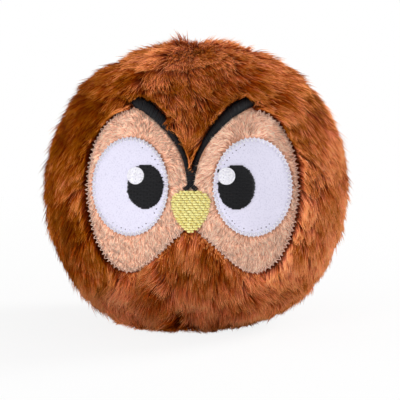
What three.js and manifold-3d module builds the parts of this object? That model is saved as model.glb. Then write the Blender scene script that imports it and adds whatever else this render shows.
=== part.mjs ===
// Plush owl ball: a stuffed faux-fur ball with a sewn and embroidered owl face and a squeaker inside.
// Millimetres, +Z up. The face looks along -Y and the ball rests on z = 0. Left means -X.

import * as THREE from 'three';
import { mergeVertices } from 'three/addons/utils/BufferGeometryUtils.js';
import Module from 'manifold-3d';

// Stuffed ball, measured over the pile but under its loose tips
const BALL_WIDTH = 98.8;
const BALL_DEPTH = 97.4;
const GIRTH_HEIGHT = 44.5;
const CROWN_RISE = 47.8;
const BASE_RADIUS = 25;
const BASE_TUCK = 0.3;
const FULLNESS = 2.12;

// Seams and darts draw the cover in
const SEAM_DIP = 1.2;
const SEAM_DIP_WIDTH = 4;
const DART_WIDTH = 3;
const CHIN_DART_DIP = 2.6;
const CHIN_DART_TOP = 18;
const CROWN_DART_DIP = 1.6;
const CROWN_DART_REACH = 22;

// Cover: pile and backing together, with the seam allowance turned in
const COVER = 6;
const CRUSHED_COVER = 1.5;
const ALLOWANCE_THICKNESS = 1.6;
const ALLOWANCE_DEPTH = 5;
const SEAM_LINE = 2;
const CLEARANCE = 0.3;
const THREAD_RADIUS = 0.3;
const THREAD_END_GAP = 1.5;

// Stuffing opening in the back seam, closed by hand
const OPENING_BOTTOM = 16;
const OPENING_LENGTH = 32;
const FURROW_WIDTH = 3;
const FURROW_DEPTH = 5.4;
const LADDER_PITCH = 4;

// Face, laid out in the plane that it looks along
const FACE_TILT = THREE.MathUtils.degToRad(8);
const RECESS_MARGIN = 1.6;
const MASK_THICKNESS = 1.6;
const EYE_SPACING = 38;
const EYE_WIDTH = 23.8;
const EYE_HEIGHT = 31;
const FELT_THICKNESS = 0.8;
const MASK_SIDE_MARGIN = 2.5;
const MASK_TOP_MARGIN = 8.8;
const MASK_BOTTOM_MARGIN = 11.4;
const MASK_NOTCH = 12.2;
const MASK_FLARE = 1.1;
const PUPIL_CROSS = 4.7;
const PUPIL_WIDTH = 11.5;
const PUPIL_HEIGHT = 14;
const EMBROIDERY_THICKNESS = 0.5;
const HIGHLIGHT_RADIUS = 2.55;
const HIGHLIGHT_LEFT = 3.1;
const HIGHLIGHT_UP = 3.4;
const BEAK_TOP = 1.2;
const BEAK_WIDTH = 12.9;
const BEAK_CHEEK = 3.4;
const BEAK_HEIGHT = 13.2;
const BEAK_THICKNESS = 0.9;
const BROW_THICKNESS = 2;
const BROW_FOOT_WIDTH = 1.5;
const BROW_TIP_WIDTH = 4.4;
const BROW_TIP_IN = 1.6;
const BROW_TIP_UP = 2.4;
const STEM_WIDTH = 2.6;
const STEM_TOP = 5;

// Handles of the face's curves, as shares of what each curve spans
const LOBE_FLOOR_HANDLE = 0.7;
const LOBE_NOTCH_HANDLE = 0.47;
const LOBE_NOTCH_FALL = 0.36;
const BROW_FOOT_HANDLE = new THREE.Vector2(0.08, 0.28);
const BROW_TIP_HANDLE = new THREE.Vector2(0.5, 0.83);
const BROW_SWELL_FROM = 0.2;
const BROW_SWELL_BY = 0.9;
const BEAK_SHOULDER = 0.85;
const BEAK_BULGE = 0.98;
const BEAK_TAPER = 0.64;
const BEAK_POINT = 0.2;

// Zigzag stitching over the edges of the mask and the eye discs
const STITCH_PITCH = 1.9;
const STITCH_INSIDE = 0.8;
const STITCH_OUTSIDE = 0.7;
const STITCH_RADIUS = 0.2;

// Embroidery backing behind the face
const BACKING_THICKNESS = 0.6;
const BACKING_MARGIN = 3;

// Squeaker bulb, centred in the ball
const BULB_RADIUS = 17;
const BULB_WALL = 1;
const CUP_HEIGHT = 8;
const CUP_CORNER = 3;
const FOLD_COUNT = 3;
const FOLD_HEIGHT = 3.6;
const FOLD_DEPTH = 3;
const DOME_SKIRT = 2;
const DOME_RISE = 7;
const NECK_RADIUS = 5;
const NECK_WALL = 1.2;
const NECK_LENGTH = 5;

// Reed plug in the bulb's neck
const PLUG_FLANGE = 1.6;
const PLUG_INSIDE = 4;
const CHANNEL_WIDTH = 3.2;
const CHANNEL_DEPTH = 1.4;
const REED_WIDTH = 2.4;
const REED_THICKNESS = 0.3;
const REED_ROOT_WIDTH = 4.4;
const REED_ROOT_LENGTH = 3;
const REED_TONGUE_LENGTH = 6;

// Fineness of the facets
const COLUMNS = 40;
const LOWER_ROWS = 6;
const UPPER_ROWS = 8;
const OUTLINE_STEPS = 8;
const ROUND_STEPS = 24;
const LATHE_SIDES = 24;
const CORNER_STEPS = 4;
const DOME_STEPS = 6;
const SEAM_STEPS = 64;
const THREAD_SIDES = 3;

const wasm = await Module();
wasm.setup();

// Turn a closed geometry into a solid that can be joined and cut
function toSolid(geometry) {
  geometry.deleteAttribute('normal');
  geometry.deleteAttribute('uv');
  const welded = mergeVertices(geometry, 1e-3);
  const index = welded.index.array;
  const corners = [];
  for (let i = 0; i < index.length; i += 3) {
    const [a, b, c] = [index[i], index[i + 1], index[i + 2]];
    if (a !== b && b !== c && c !== a) {
      corners.push(a, b, c);
    }
  }
  const vertProperties = new Float32Array(welded.attributes.position.array);
  const triVerts = new Uint32Array(corners);
  const solid = new wasm.Manifold(new wasm.Mesh({ numProp: 3, vertProperties, triVerts }));
  if (solid.volume() > 0) {
    return solid;
  }
  return new wasm.Manifold(new wasm.Mesh({ numProp: 3, vertProperties, triVerts: triVerts.reverse() }));
}

// Geometry from a list of points and a list of triangles
function fromTriangles(points, triangles) {
  const geometry = new THREE.BufferGeometry();
  geometry.setAttribute('position', new THREE.Float32BufferAttribute(points.flatMap((p) => p.toArray()), 3));
  geometry.setIndex(triangles);
  return geometry;
}

function block(low, high) {
  const size = new THREE.Vector3().subVectors(high, low);
  const middle = new THREE.Vector3().addVectors(low, high).multiplyScalar(0.5);
  return toSolid(new THREE.BoxGeometry(size.x, size.y, size.z).translate(middle.x, middle.y, middle.z));
}

// Everything on one side of a plane: axis is x or y, side is 1 or -1
function halfSpace(axis, side, from) {
  const reach = BALL_WIDTH + BALL_DEPTH + GIRTH_HEIGHT + CROWN_RISE;
  const low = new THREE.Vector3(-reach, -reach, -reach);
  const high = new THREE.Vector3(reach, reach, reach);
  (side > 0 ? low : high)[axis] = side * from;
  return block(low, high);
}

// Outline of the ball at a depth below the pile: widths, and the lower half's cut at the base patch
function outlineAt(inset) {
  const halfWidth = BALL_WIDTH / 2 - inset;
  const halfDepth = BALL_DEPTH / 2 - inset;
  const baseShare = (BASE_RADIUS - inset * BASE_TUCK) / halfWidth;
  const baseAngle = Math.acos(baseShare ** (FULLNESS / 2));
  const drop = (GIRTH_HEIGHT - inset) / Math.sin(baseAngle) ** (2 / FULLNESS);
  return { halfWidth, halfDepth, baseAngle, drop, rise: CROWN_RISE - inset };
}

// How far the seams and darts draw the cover in at a point
function dipAt(point) {
  const across = (distance, width) => Math.exp(-((distance / width) ** 2));
  const dips = [SEAM_DIP * across(point.y, SEAM_DIP_WIDTH)];
  if (point.y > 0) {
    dips.push(SEAM_DIP * across(point.x, SEAM_DIP_WIDTH));
  } else {
    const chin = Math.max(0, 1 - point.z / CHIN_DART_TOP);
    dips.push(CHIN_DART_DIP * Math.sqrt(chin) * across(point.x, DART_WIDTH));
    const crown = point.z > GIRTH_HEIGHT ? Math.max(0, 1 + point.y / CROWN_DART_REACH) : 0;
    dips.push(CROWN_DART_DIP * crown * across(point.x, DART_WIDTH));
  }
  return Math.max(...dips);
}

// Point of the ball's surface at a depth below the pile; level is -1 at the base, 0 at the girth, 1 at the crown
function bodyPoint(azimuth, level, inset) {
  const outline = outlineAt(inset);
  const angle = level * (level < 0 ? outline.baseAngle : Math.PI / 2);
  const share = Math.max(0, Math.cos(angle)) ** (2 / FULLNESS);
  const lift = Math.abs(Math.sin(angle)) ** (2 / FULLNESS);
  const z = GIRTH_HEIGHT + (level < 0 ? -outline.drop : outline.rise) * lift;
  const x = outline.halfWidth * share * Math.cos(azimuth);
  const y = outline.halfDepth * share * Math.sin(azimuth);
  const point = new THREE.Vector3(x, y, z);
  const inward = new THREE.Vector3(-x, -y, Math.min(0, GIRTH_HEIGHT - z)).normalize();
  return point.addScaledVector(inward, dipAt(point));
}

// The whole stuffed ball at a depth below the pile, flat at its base
const forms = new Map();
function ballForm(inset) {
  if (forms.has(inset)) {
    return forms.get(inset);
  }
  const levels = [];
  for (let row = 0; row <= LOWER_ROWS; row++) {
    levels.push(row / LOWER_ROWS - 1);
  }
  for (let row = 1; row < UPPER_ROWS; row++) {
    levels.push(row / UPPER_ROWS);
  }
  const points = [new THREE.Vector3(0, 0, inset)];
  for (const level of levels) {
    for (let column = 0; column < COLUMNS; column++) {
      points.push(bodyPoint((column / COLUMNS) * 2 * Math.PI, level, inset));
    }
  }
  points.push(bodyPoint(0, 1, inset));
  const crown = points.length - 1;
  const at = (row, column) => 1 + row * COLUMNS + (column % COLUMNS);
  const triangles = [];
  for (let column = 0; column < COLUMNS; column++) {
    triangles.push(0, at(0, column + 1), at(0, column));
    for (let row = 0; row < levels.length - 1; row++) {
      triangles.push(at(row, column), at(row, column + 1), at(row + 1, column + 1));
      triangles.push(at(row, column), at(row + 1, column + 1), at(row + 1, column));
    }
    triangles.push(at(levels.length - 1, column), at(levels.length - 1, column + 1), crown);
  }
  forms.set(inset, toSolid(fromTriangles(points, triangles)));
  return forms.get(inset);
}

// Everything between two depths below the pile
function shell(top, bottom) {
  return ballForm(top).subtract(ballForm(bottom));
}

// Face plane: x runs right, y runs up, and the face axis points out of the face
const FACE_AXIS = new THREE.Vector3(0, -Math.cos(FACE_TILT), Math.sin(FACE_TILT));
const FACE_UP = new THREE.Vector3(0, Math.sin(FACE_TILT), Math.cos(FACE_TILT));

// Point of the ball's surface in front of a point of the face plane
function facePoint(flat, inset) {
  const outline = outlineAt(inset);
  const at = (distance) =>
    new THREE.Vector3(flat.x, 0, GIRTH_HEIGHT)
      .addScaledVector(FACE_UP, flat.y)
      .addScaledVector(FACE_AXIS, distance);
  const inside = (point) => {
    const share = Math.hypot(point.x / outline.halfWidth, point.y / outline.halfDepth);
    const above = point.z - GIRTH_HEIGHT;
    const lift = above > 0 ? above / outline.rise : -above / outline.drop;
    return share ** FULLNESS + lift ** FULLNESS < 1;
  };
  let near = 0;
  let far = BALL_DEPTH;
  while (far - near > 1e-5) {
    const middle = (near + far) / 2;
    if (inside(at(middle))) {
      near = middle;
    } else {
      far = middle;
    }
  }
  return at(near);
}

// Prism of a flat shape, from the ball's middle out past the face
function facePrism(shape) {
  const geometry = new THREE.ExtrudeGeometry(shape, {
    depth: BALL_DEPTH,
    bevelEnabled: false,
    curveSegments: OUTLINE_STEPS,
  });
  return toSolid(geometry.rotateX(Math.PI / 2 - FACE_TILT).translate(0, 0, GIRTH_HEIGHT));
}

// A layer of the face: a flat shape bent onto the ball at a depth below the pile
function faceLayer(shape, top, thickness) {
  return shell(top, top + thickness).intersect(facePrism(shape));
}

// Depths of the face layers below the pile, built up from the crushed cover
const RECESS_FLOOR = COVER - CRUSHED_COVER;
const MASK_TOP = RECESS_FLOOR - CLEARANCE - MASK_THICKNESS;
const FELT_TOP = MASK_TOP - CLEARANCE - FELT_THICKNESS;
const PUPIL_TOP = FELT_TOP - CLEARANCE - EMBROIDERY_THICKNESS;
const BEAK_SURFACE = MASK_TOP - CLEARANCE - BEAK_THICKNESS;
const BROW_SURFACE = RECESS_FLOOR - CLEARANCE - BROW_THICKNESS;

// Outline of the mask on one side, from its top peak round the eye to the notch under the beak
function maskBorder(side, grow) {
  const centre = EYE_SPACING / 2;
  const halfWidth = EYE_WIDTH / 2 + MASK_SIDE_MARGIN + grow;
  const up = EYE_HEIGHT / 2 + MASK_TOP_MARGIN + grow;
  const down = EYE_HEIGHT / 2 + MASK_BOTTOM_MARGIN + grow;
  const notch = -MASK_NOTCH - grow;
  const flip = side < 0;
  const path = new THREE.Path();
  path.absellipse(side * centre, 0, halfWidth, up, Math.PI / 2, flip ? Math.PI : 0, !flip);
  const [from, to] = flip ? [Math.PI, 1.5 * Math.PI] : [2 * Math.PI, 1.5 * Math.PI];
  path.absellipse(side * (centre + MASK_FLARE), 0, halfWidth - MASK_FLARE, down, from, to, !flip);
  const floorX = side * centre * LOBE_FLOOR_HANDLE;
  const notchX = side * centre * LOBE_NOTCH_HANDLE;
  const notchY = notch - (down + notch) * LOBE_NOTCH_FALL;
  path.bezierCurveTo(floorX, -down, notchX, notchY, 0, notch);
  return path;
}

// Middle line of one brow, from the stem out to its tip above the mask's peak
function browLine(side) {
  const foot = new THREE.Vector2(side * (BROW_FOOT_WIDTH + CLEARANCE) / 2, STEM_TOP + CLEARANCE);
  const peak = EYE_HEIGHT / 2 + MASK_TOP_MARGIN;
  const tip = new THREE.Vector2(side * (EYE_SPACING / 2 - BROW_TIP_IN), peak + BROW_TIP_UP);
  const reach = new THREE.Vector2().subVectors(tip, foot);
  const rising = reach.clone().multiply(BROW_FOOT_HANDLE).add(foot);
  const levelling = reach.clone().multiply(BROW_TIP_HANDLE).add(foot);
  return new THREE.CubicBezierCurve(foot, rising, levelling, tip);
}

// Outline of one brow: it widens from the stem to a round tip
function browShape(side, grow) {
  const line = browLine(side);
  const near = [];
  const far = [];
  for (let step = 0; step <= OUTLINE_STEPS; step++) {
    const share = step / OUTLINE_STEPS;
    const point = line.getPoint(share);
    const ahead = line.getTangent(share);
    const across = new THREE.Vector2(-ahead.y, ahead.x);
    const swell = THREE.MathUtils.smoothstep(share, BROW_SWELL_FROM, BROW_SWELL_BY);
    const half = THREE.MathUtils.lerp(BROW_FOOT_WIDTH, BROW_TIP_WIDTH, swell) / 2 + grow;
    near.push(point.clone().addScaledVector(across, half));
    far.push(point.clone().addScaledVector(across, -half));
  }
  const tip = line.getPoint(1);
  const heading = line.getTangent(1).angle();
  const radius = BROW_TIP_WIDTH / 2 + grow;
  const cap = [];
  for (let step = 1; step < OUTLINE_STEPS; step++) {
    const angle = heading + Math.PI / 2 - (step / OUTLINE_STEPS) * Math.PI;
    cap.push(new THREE.Vector2(tip.x + radius * Math.cos(angle), tip.y + radius * Math.sin(angle)));
  }
  return new THREE.Shape([...near, ...cap, ...far.reverse()]);
}

// Outline of the stem between the brows
function stemShape(grow) {
  const half = STEM_WIDTH / 2 + grow;
  const foot = CLEARANCE - BEAK_TOP - grow;
  const top = STEM_TOP + grow;
  const shape = new THREE.Shape();
  shape.moveTo(-half, foot);
  shape.lineTo(half, foot);
  shape.lineTo(half, top);
  shape.lineTo(-half, top);
  return shape;
}

// Outline of the beak: round shoulders, and full sides that draw in to a blunt point
function beakShape(grow) {
  const half = BEAK_WIDTH / 2 + grow;
  const top = -BEAK_TOP + grow;
  const cheek = -BEAK_TOP - BEAK_CHEEK;
  const point = -BEAK_TOP - BEAK_HEIGHT - grow;
  const shape = new THREE.Shape();
  const shoulder = half * BEAK_SHOULDER;
  const bulge = half * BEAK_BULGE;
  const corner = top - BEAK_CHEEK / 2;
  const taper = THREE.MathUtils.lerp(cheek, point, BEAK_TAPER);
  shape.moveTo(0, top);
  shape.bezierCurveTo(shoulder, top, bulge, corner, half, cheek);
  shape.bezierCurveTo(half, taper, half * BEAK_POINT, point, 0, point);
  shape.bezierCurveTo(-half * BEAK_POINT, point, -half, taper, -half, cheek);
  shape.bezierCurveTo(-bulge, corner, -shoulder, top, 0, top);
  return shape;
}

// Outline of the mask: up one brow line, round that lobe to the notch, and the same on the other side
function maskShape(grow) {
  const foot = new THREE.Vector2(0, -BEAK_TOP);
  const right = browLine(1).getPoints(OUTLINE_STEPS);
  const left = browLine(-1).getPoints(OUTLINE_STEPS);
  const rightBorder = maskBorder(1, grow).getPoints(OUTLINE_STEPS);
  const leftBorder = maskBorder(-1, grow).getPoints(OUTLINE_STEPS);
  const outline = [foot, ...right, ...rightBorder, ...leftBorder.reverse().slice(1), ...left.reverse()];
  return new THREE.Shape(outline);
}

function ellipseShape(x, y, width, height) {
  const curve = new THREE.EllipseCurve(x, y, width / 2, height / 2);
  return new THREE.Shape(curve.getPoints(ROUND_STEPS).slice(0, -1));
}

// Thread laid in a zigzag; each corner has a point, the direction across the seam and the surface normal
function zigzagThread(corners, closed) {
  const points = [];
  const triangles = [];
  corners.forEach((corner, i) => {
    const next = corners[(i + 1) % corners.length];
    const other = closed || i < corners.length - 1 ? next : corners[i - 1];
    const run = new THREE.Vector3().subVectors(other.point, corner.point).normalize();
    const sine = Math.sqrt(1 - run.dot(corner.across) ** 2);
    const sideways = STITCH_RADIUS / sine;
    const top = corner.point.clone().addScaledVector(corner.normal, STITCH_RADIUS);
    const bed = corner.point.clone().addScaledVector(corner.normal, -STITCH_RADIUS);
    points.push(top);
    points.push(bed.clone().addScaledVector(corner.across, sideways));
    points.push(bed.addScaledVector(corner.across, -sideways));
  });
  const spans = closed ? corners.length : corners.length - 1;
  for (let span = 0; span < spans; span++) {
    const here = span * THREAD_SIDES;
    const there = ((span + 1) % corners.length) * THREAD_SIDES;
    for (let side = 0; side < THREAD_SIDES; side++) {
      const next = (side + 1) % THREAD_SIDES;
      triangles.push(here + side, there + side, there + next);
      triangles.push(here + side, there + next, here + next);
    }
  }
  if (!closed) {
    const last = spans * THREAD_SIDES;
    triangles.push(0, 1, 2);
    triangles.push(last, last + 2, last + 1);
  }
  return toSolid(fromTriangles(points, triangles));
}

// Zigzag along an edge drawn in the face plane; side is 1 when the piece lies to the right of the path
function edgeStitch(flatPoints, side, inset, closed) {
  const count = flatPoints.length;
  const corners = flatPoints.map((flat, i) => {
    const before = flatPoints[closed ? (i + count - 1) % count : Math.max(0, i - 1)];
    const after = flatPoints[closed ? (i + 1) % count : Math.min(count - 1, i + 1)];
    const ahead = new THREE.Vector2().subVectors(after, before).normalize();
    const outward = new THREE.Vector2(-ahead.y, ahead.x).multiplyScalar(side);
    const shift = i % 2 ? STITCH_OUTSIDE : -STITCH_INSIDE;
    const place = (distance) => facePoint(flat.clone().addScaledVector(outward, distance), inset);
    const point = place(shift);
    const across = new THREE.Vector3().subVectors(place(shift + STITCH_RADIUS), point).normalize();
    const centre = new THREE.Vector3(0, 0, GIRTH_HEIGHT);
    const normal = new THREE.Vector3().subVectors(point, centre);
    normal.addScaledVector(across, -normal.dot(across)).normalize();
    return { point, across, normal };
  });
  return zigzagThread(corners, closed);
}

// Even number of stitch corners along a length
function stitchCorners(length, pitch) {
  return 2 * Math.round(length / pitch);
}

// Zigzag round one eye disc
function eyeStitch(side) {
  const edge = new THREE.EllipseCurve(side * EYE_SPACING / 2, 0, EYE_WIDTH / 2, EYE_HEIGHT / 2);
  const points = edge.getSpacedPoints(stitchCorners(edge.getLength(), STITCH_PITCH));
  points.pop();
  return edgeStitch(points, -1, FELT_TOP - CLEARANCE - STITCH_RADIUS, true);
}

// Zigzag along the mask's edge, from beside the brow's tip to beside the beak
function maskStitch(side) {
  const border = maskBorder(side, 0);
  const points = border.getSpacedPoints(stitchCorners(border.getLength(), STITCH_PITCH));
  const browEnd = EYE_SPACING / 2 - BROW_TIP_IN + BROW_TIP_WIDTH / 2 + RECESS_MARGIN;
  const clearOfBrow = (p) => p.y < 0 || p.x * side > browEnd;
  const clearOfBeak = (p) => p.y > 0 || p.x * side > BEAK_WIDTH / 2;
  const kept = points.filter((p) => clearOfBrow(p) && clearOfBeak(p));
  return edgeStitch(kept, side, MASK_TOP - CLEARANCE - STITCH_RADIUS, false);
}

// Sewing thread along a seam
function seamThread(points) {
  const r = THREAD_RADIUS;
  const section = new THREE.Shape([
    new THREE.Vector2(r, 0),
    new THREE.Vector2(0, r),
    new THREE.Vector2(-r, 0),
    new THREE.Vector2(0, -r),
  ]);
  const path = new THREE.CatmullRomCurve3(points, false, 'centripetal');
  const steps = Math.round((SEAM_STEPS * path.getLength()) / (Math.PI * BALL_WIDTH));
  return toSolid(new THREE.ExtrudeGeometry(section, { steps, bevelEnabled: false, extrudePath: path }));
}

// Turned solid on the vertical axis, from a profile of radius and height
function turned(profile) {
  const geometry = new THREE.LatheGeometry(profile, LATHE_SIDES);
  return toSolid(geometry.rotateX(Math.PI / 2));
}

// Quarter of an ellipse as profile points, from its outer end to its top or bottom
function quarter(radius, height, rx, ry, steps) {
  const points = [];
  for (let step = 0; step <= steps; step++) {
    const angle = (step / steps) * (Math.PI / 2);
    points.push(new THREE.Vector2(radius + rx * Math.cos(angle), height + ry * Math.sin(angle)));
  }
  return points;
}

// Cover panels
const SEAM_HALF = CLEARANCE / 2;
const ALLOWANCE_FACE = SEAM_HALF + ALLOWANCE_THICKNESS;
const LINING = COVER + ALLOWANCE_DEPTH;

const front = halfSpace('y', -1, SEAM_HALF);
const rear = halfSpace('y', 1, SEAM_HALF);
const frontRoom = ballForm(COVER).intersect(halfSpace('y', -1, ALLOWANCE_FACE));

const recess = [
  maskShape(RECESS_MARGIN),
  browShape(1, RECESS_MARGIN),
  browShape(-1, RECESS_MARGIN),
  stemShape(RECESS_MARGIN),
  beakShape(RECESS_MARGIN),
]
  .map(facePrism)
  .reduce((all, one) => all.add(one))
  .subtract(ballForm(RECESS_FLOOR));

const frontPanel = shell(0, LINING).intersect(front).subtract(frontRoom).subtract(recess);

const furrow = block(
  new THREE.Vector3(-FURROW_WIDTH / 2, 0, OPENING_BOTTOM),
  new THREE.Vector3(FURROW_WIDTH / 2, BALL_DEPTH, OPENING_BOTTOM + OPENING_LENGTH),
).subtract(ballForm(FURROW_DEPTH));

function rearPanel(side) {
  const room = ballForm(COVER)
    .intersect(halfSpace('y', 1, ALLOWANCE_FACE))
    .intersect(halfSpace('x', side, ALLOWANCE_FACE));
  return shell(0, LINING)
    .intersect(rear)
    .intersect(halfSpace('x', side, SEAM_HALF))
    .subtract(room)
    .subtract(furrow);
}

// Face pieces
const browRoom = [browShape(1, CLEARANCE), browShape(-1, CLEARANCE), stemShape(CLEARANCE)]
  .map(facePrism)
  .reduce((all, one) => all.add(one));
const beakRoom = facePrism(beakShape(CLEARANCE));
const mask = faceLayer(maskShape(0), MASK_TOP, MASK_THICKNESS).subtract(browRoom);

function eyeShape(side, grow) {
  return ellipseShape(side * EYE_SPACING / 2, 0, EYE_WIDTH + 2 * grow, EYE_HEIGHT + 2 * grow);
}

function eyeDisc(side) {
  return faceLayer(eyeShape(side, 0), FELT_TOP, FELT_THICKNESS).subtract(beakRoom);
}

// The part of an eye disc that its ring of stitches leaves free
const STITCH_ANGLE = Math.atan2(STITCH_PITCH / 2, STITCH_INSIDE + STITCH_OUTSIDE);
const STITCH_REACH = STITCH_INSIDE + STITCH_RADIUS / Math.sin(STITCH_ANGLE) + CLEARANCE;
const eyeField = (side) => facePrism(eyeShape(side, -STITCH_REACH));

const pupilAt = (side) => side * (EYE_SPACING / 2 - PUPIL_CROSS);

function highlightShape(side, grow) {
  const size = 2 * (HIGHLIGHT_RADIUS + grow);
  return ellipseShape(pupilAt(side) - HIGHLIGHT_LEFT, HIGHLIGHT_UP, size, size);
}

function pupil(side) {
  const whole = faceLayer(
    ellipseShape(pupilAt(side), 0, PUPIL_WIDTH, PUPIL_HEIGHT),
    PUPIL_TOP,
    EMBROIDERY_THICKNESS,
  );
  return whole.subtract(facePrism(highlightShape(side, CLEARANCE))).intersect(eyeField(side));
}

function highlight(side) {
  return faceLayer(highlightShape(side, 0), PUPIL_TOP, EMBROIDERY_THICKNESS).intersect(eyeField(side));
}

function brow(side) {
  return faceLayer(browShape(side, 0), BROW_SURFACE, BROW_THICKNESS).intersect(halfSpace('x', side, SEAM_HALF));
}

const stem = faceLayer(stemShape(0), BROW_SURFACE, BROW_THICKNESS);
const beak = faceLayer(beakShape(0), BEAK_SURFACE, BEAK_THICKNESS);

// Embroidery backing, an oval patch that reaches past the mask all round
const BACKING_TOP = COVER + CLEARANCE;
const backingShape = (grow) =>
  ellipseShape(
    0,
    (MASK_TOP_MARGIN - MASK_BOTTOM_MARGIN) / 2,
    EYE_SPACING + EYE_WIDTH + 2 * (MASK_SIDE_MARGIN + BACKING_MARGIN + grow),
    EYE_HEIGHT + MASK_TOP_MARGIN + MASK_BOTTOM_MARGIN + 2 * (BACKING_MARGIN + grow),
  );
const backing = faceLayer(backingShape(0), BACKING_TOP, BACKING_THICKNESS);

// Seam threads, laid against the turned-in allowances
const THREAD_FACE = ALLOWANCE_FACE + CLEARANCE + THREAD_RADIUS;
const THREAD_INSET = COVER + SEAM_LINE;

function girthSeamThread() {
  const side = (azimuth) => {
    const points = [new THREE.Vector3(THREAD_END_GAP * Math.cos(azimuth), 0, THREAD_INSET)];
    for (let row = 0; row < LOWER_ROWS; row++) {
      points.push(bodyPoint(azimuth, row / LOWER_ROWS - 1, THREAD_INSET));
    }
    for (let row = 0; row < UPPER_ROWS; row++) {
      points.push(bodyPoint(azimuth, row / UPPER_ROWS, THREAD_INSET));
    }
    return points;
  };
  const loop = [...side(0), bodyPoint(0, 1, THREAD_INSET), ...side(Math.PI).reverse()];
  return seamThread(loop.map((p) => new THREE.Vector3(p.x, -THREAD_FACE, p.z)));
}

function backSeamThread() {
  const points = [];
  for (let row = 0; row <= UPPER_ROWS; row++) {
    points.push(bodyPoint(Math.PI / 2, row / UPPER_ROWS, THREAD_INSET));
  }
  const top = OPENING_BOTTOM + OPENING_LENGTH;
  const kept = points.filter((p) => p.z > top && p.y > ALLOWANCE_FACE + 2 * THREAD_FACE);
  return seamThread(kept.map((p) => new THREE.Vector3(-THREAD_FACE, p.y, p.z)));
}

// Ladder stitch on the floor of the furrow over the stuffing opening
function closingStitch() {
  const inset = FURROW_DEPTH - CLEARANCE - STITCH_RADIUS;
  const reach = FURROW_WIDTH / 2 - CLEARANCE - 2 * STITCH_RADIUS;
  const path = [];
  for (let row = 0; row <= LOWER_ROWS; row++) {
    path.push(bodyPoint(Math.PI / 2, row / LOWER_ROWS - 1, inset));
  }
  for (let row = 1; row < UPPER_ROWS; row++) {
    path.push(bodyPoint(Math.PI / 2, row / UPPER_ROWS, inset));
  }
  const curve = new THREE.CatmullRomCurve3(path);
  const low = OPENING_BOTTOM + CLEARANCE + 2 * STITCH_RADIUS;
  const high = OPENING_BOTTOM + OPENING_LENGTH - CLEARANCE - 2 * STITCH_RADIUS;
  const spaced = curve.getSpacedPoints(stitchCorners(curve.getLength(), LADDER_PITCH));
  const kept = spaced.filter((p) => p.z > low && p.z < high);
  const across = new THREE.Vector3(1, 0, 0);
  const corners = kept.map((p, i) => {
    const point = new THREE.Vector3(i % 2 ? reach : -reach, p.y, p.z);
    const normal = new THREE.Vector3(0, p.y, p.z - GIRTH_HEIGHT).normalize();
    return { point, across, normal };
  });
  return zigzagThread(corners, false);
}

// Squeaker bulb heights
const FOLDS_HEIGHT = FOLD_COUNT * FOLD_HEIGHT;
const BULB_HEIGHT = CUP_HEIGHT + FOLDS_HEIGHT + DOME_SKIRT + DOME_RISE + 2 * CLEARANCE;
const CUP_FLOOR = GIRTH_HEIGHT - BULB_HEIGHT / 2;
const CUP_RIM = CUP_FLOOR + CUP_HEIGHT;
const FOLDS_BOTTOM = CUP_RIM + CLEARANCE;
const FOLDS_TOP = FOLDS_BOTTOM + FOLDS_HEIGHT;
const DOME_RIM = FOLDS_TOP + CLEARANCE;
const NECK_END = CUP_FLOOR - NECK_LENGTH;
const PLUG_BOTTOM = NECK_END - CLEARANCE - PLUG_FLANGE;
const PLUG_TOP = CUP_FLOOR + BULB_WALL + PLUG_INSIDE;
const NECK_BORE = NECK_RADIUS - NECK_WALL;

const flat = (radius, height) => new THREE.Vector2(radius, height);

// Cup with a round lower corner and the neck that takes the reed plug
function bulbCup() {
  const corner = (radius, floor) =>
    quarter(radius - CUP_CORNER, floor + CUP_CORNER, CUP_CORNER, -CUP_CORNER, CORNER_STEPS);
  const outer = corner(BULB_RADIUS, CUP_FLOOR).reverse();
  const inner = corner(BULB_RADIUS - BULB_WALL, CUP_FLOOR + BULB_WALL);
  const profile = [
    flat(NECK_BORE, NECK_END),
    flat(NECK_RADIUS, NECK_END),
    flat(NECK_RADIUS, CUP_FLOOR),
    ...outer,
    flat(BULB_RADIUS, CUP_RIM),
    flat(BULB_RADIUS - BULB_WALL, CUP_RIM),
    ...inner,
    flat(NECK_BORE, CUP_FLOOR + BULB_WALL),
    flat(NECK_BORE, NECK_END),
  ];
  return turned(profile);
}

// Folded wall: the outside steps in and out, and the inside follows it
function bulbFolds() {
  const outer = [];
  for (let half = 0; half <= 2 * FOLD_COUNT; half++) {
    const radius = half % 2 ? BULB_RADIUS - FOLD_DEPTH : BULB_RADIUS;
    outer.push(flat(radius, FOLDS_BOTTOM + (half * FOLD_HEIGHT) / 2));
  }
  const inner = outer.map((p) => flat(p.x - BULB_WALL, p.y)).reverse();
  return turned([...outer, ...inner, outer[0]]);
}

// Crown: a short skirt and a dome
function bulbCrown() {
  const spring = DOME_RIM + DOME_SKIRT;
  const outer = quarter(0, spring, BULB_RADIUS, DOME_RISE, DOME_STEPS);
  const inner = quarter(0, spring, BULB_RADIUS - BULB_WALL, DOME_RISE - BULB_WALL, DOME_STEPS).reverse();
  const rim = [flat(BULB_RADIUS - BULB_WALL, DOME_RIM), flat(BULB_RADIUS, DOME_RIM)];
  outer[outer.length - 1].x = 0;
  inner[0].x = 0;
  return turned([...inner, ...rim, ...outer]);
}

// Room for the squeaker in the stuffing
function bulbRoom() {
  const dome = quarter(0, DOME_RIM + DOME_SKIRT, BULB_RADIUS + CLEARANCE, DOME_RISE + CLEARANCE, DOME_STEPS);
  dome[dome.length - 1].x = 0;
  return turned([
    flat(0, PLUG_BOTTOM - CLEARANCE),
    flat(NECK_RADIUS + CLEARANCE, PLUG_BOTTOM - CLEARANCE),
    flat(NECK_RADIUS + CLEARANCE, CUP_FLOOR - CLEARANCE),
    flat(BULB_RADIUS + CLEARANCE, CUP_FLOOR - CLEARANCE),
    ...dome,
  ]);
}

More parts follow.
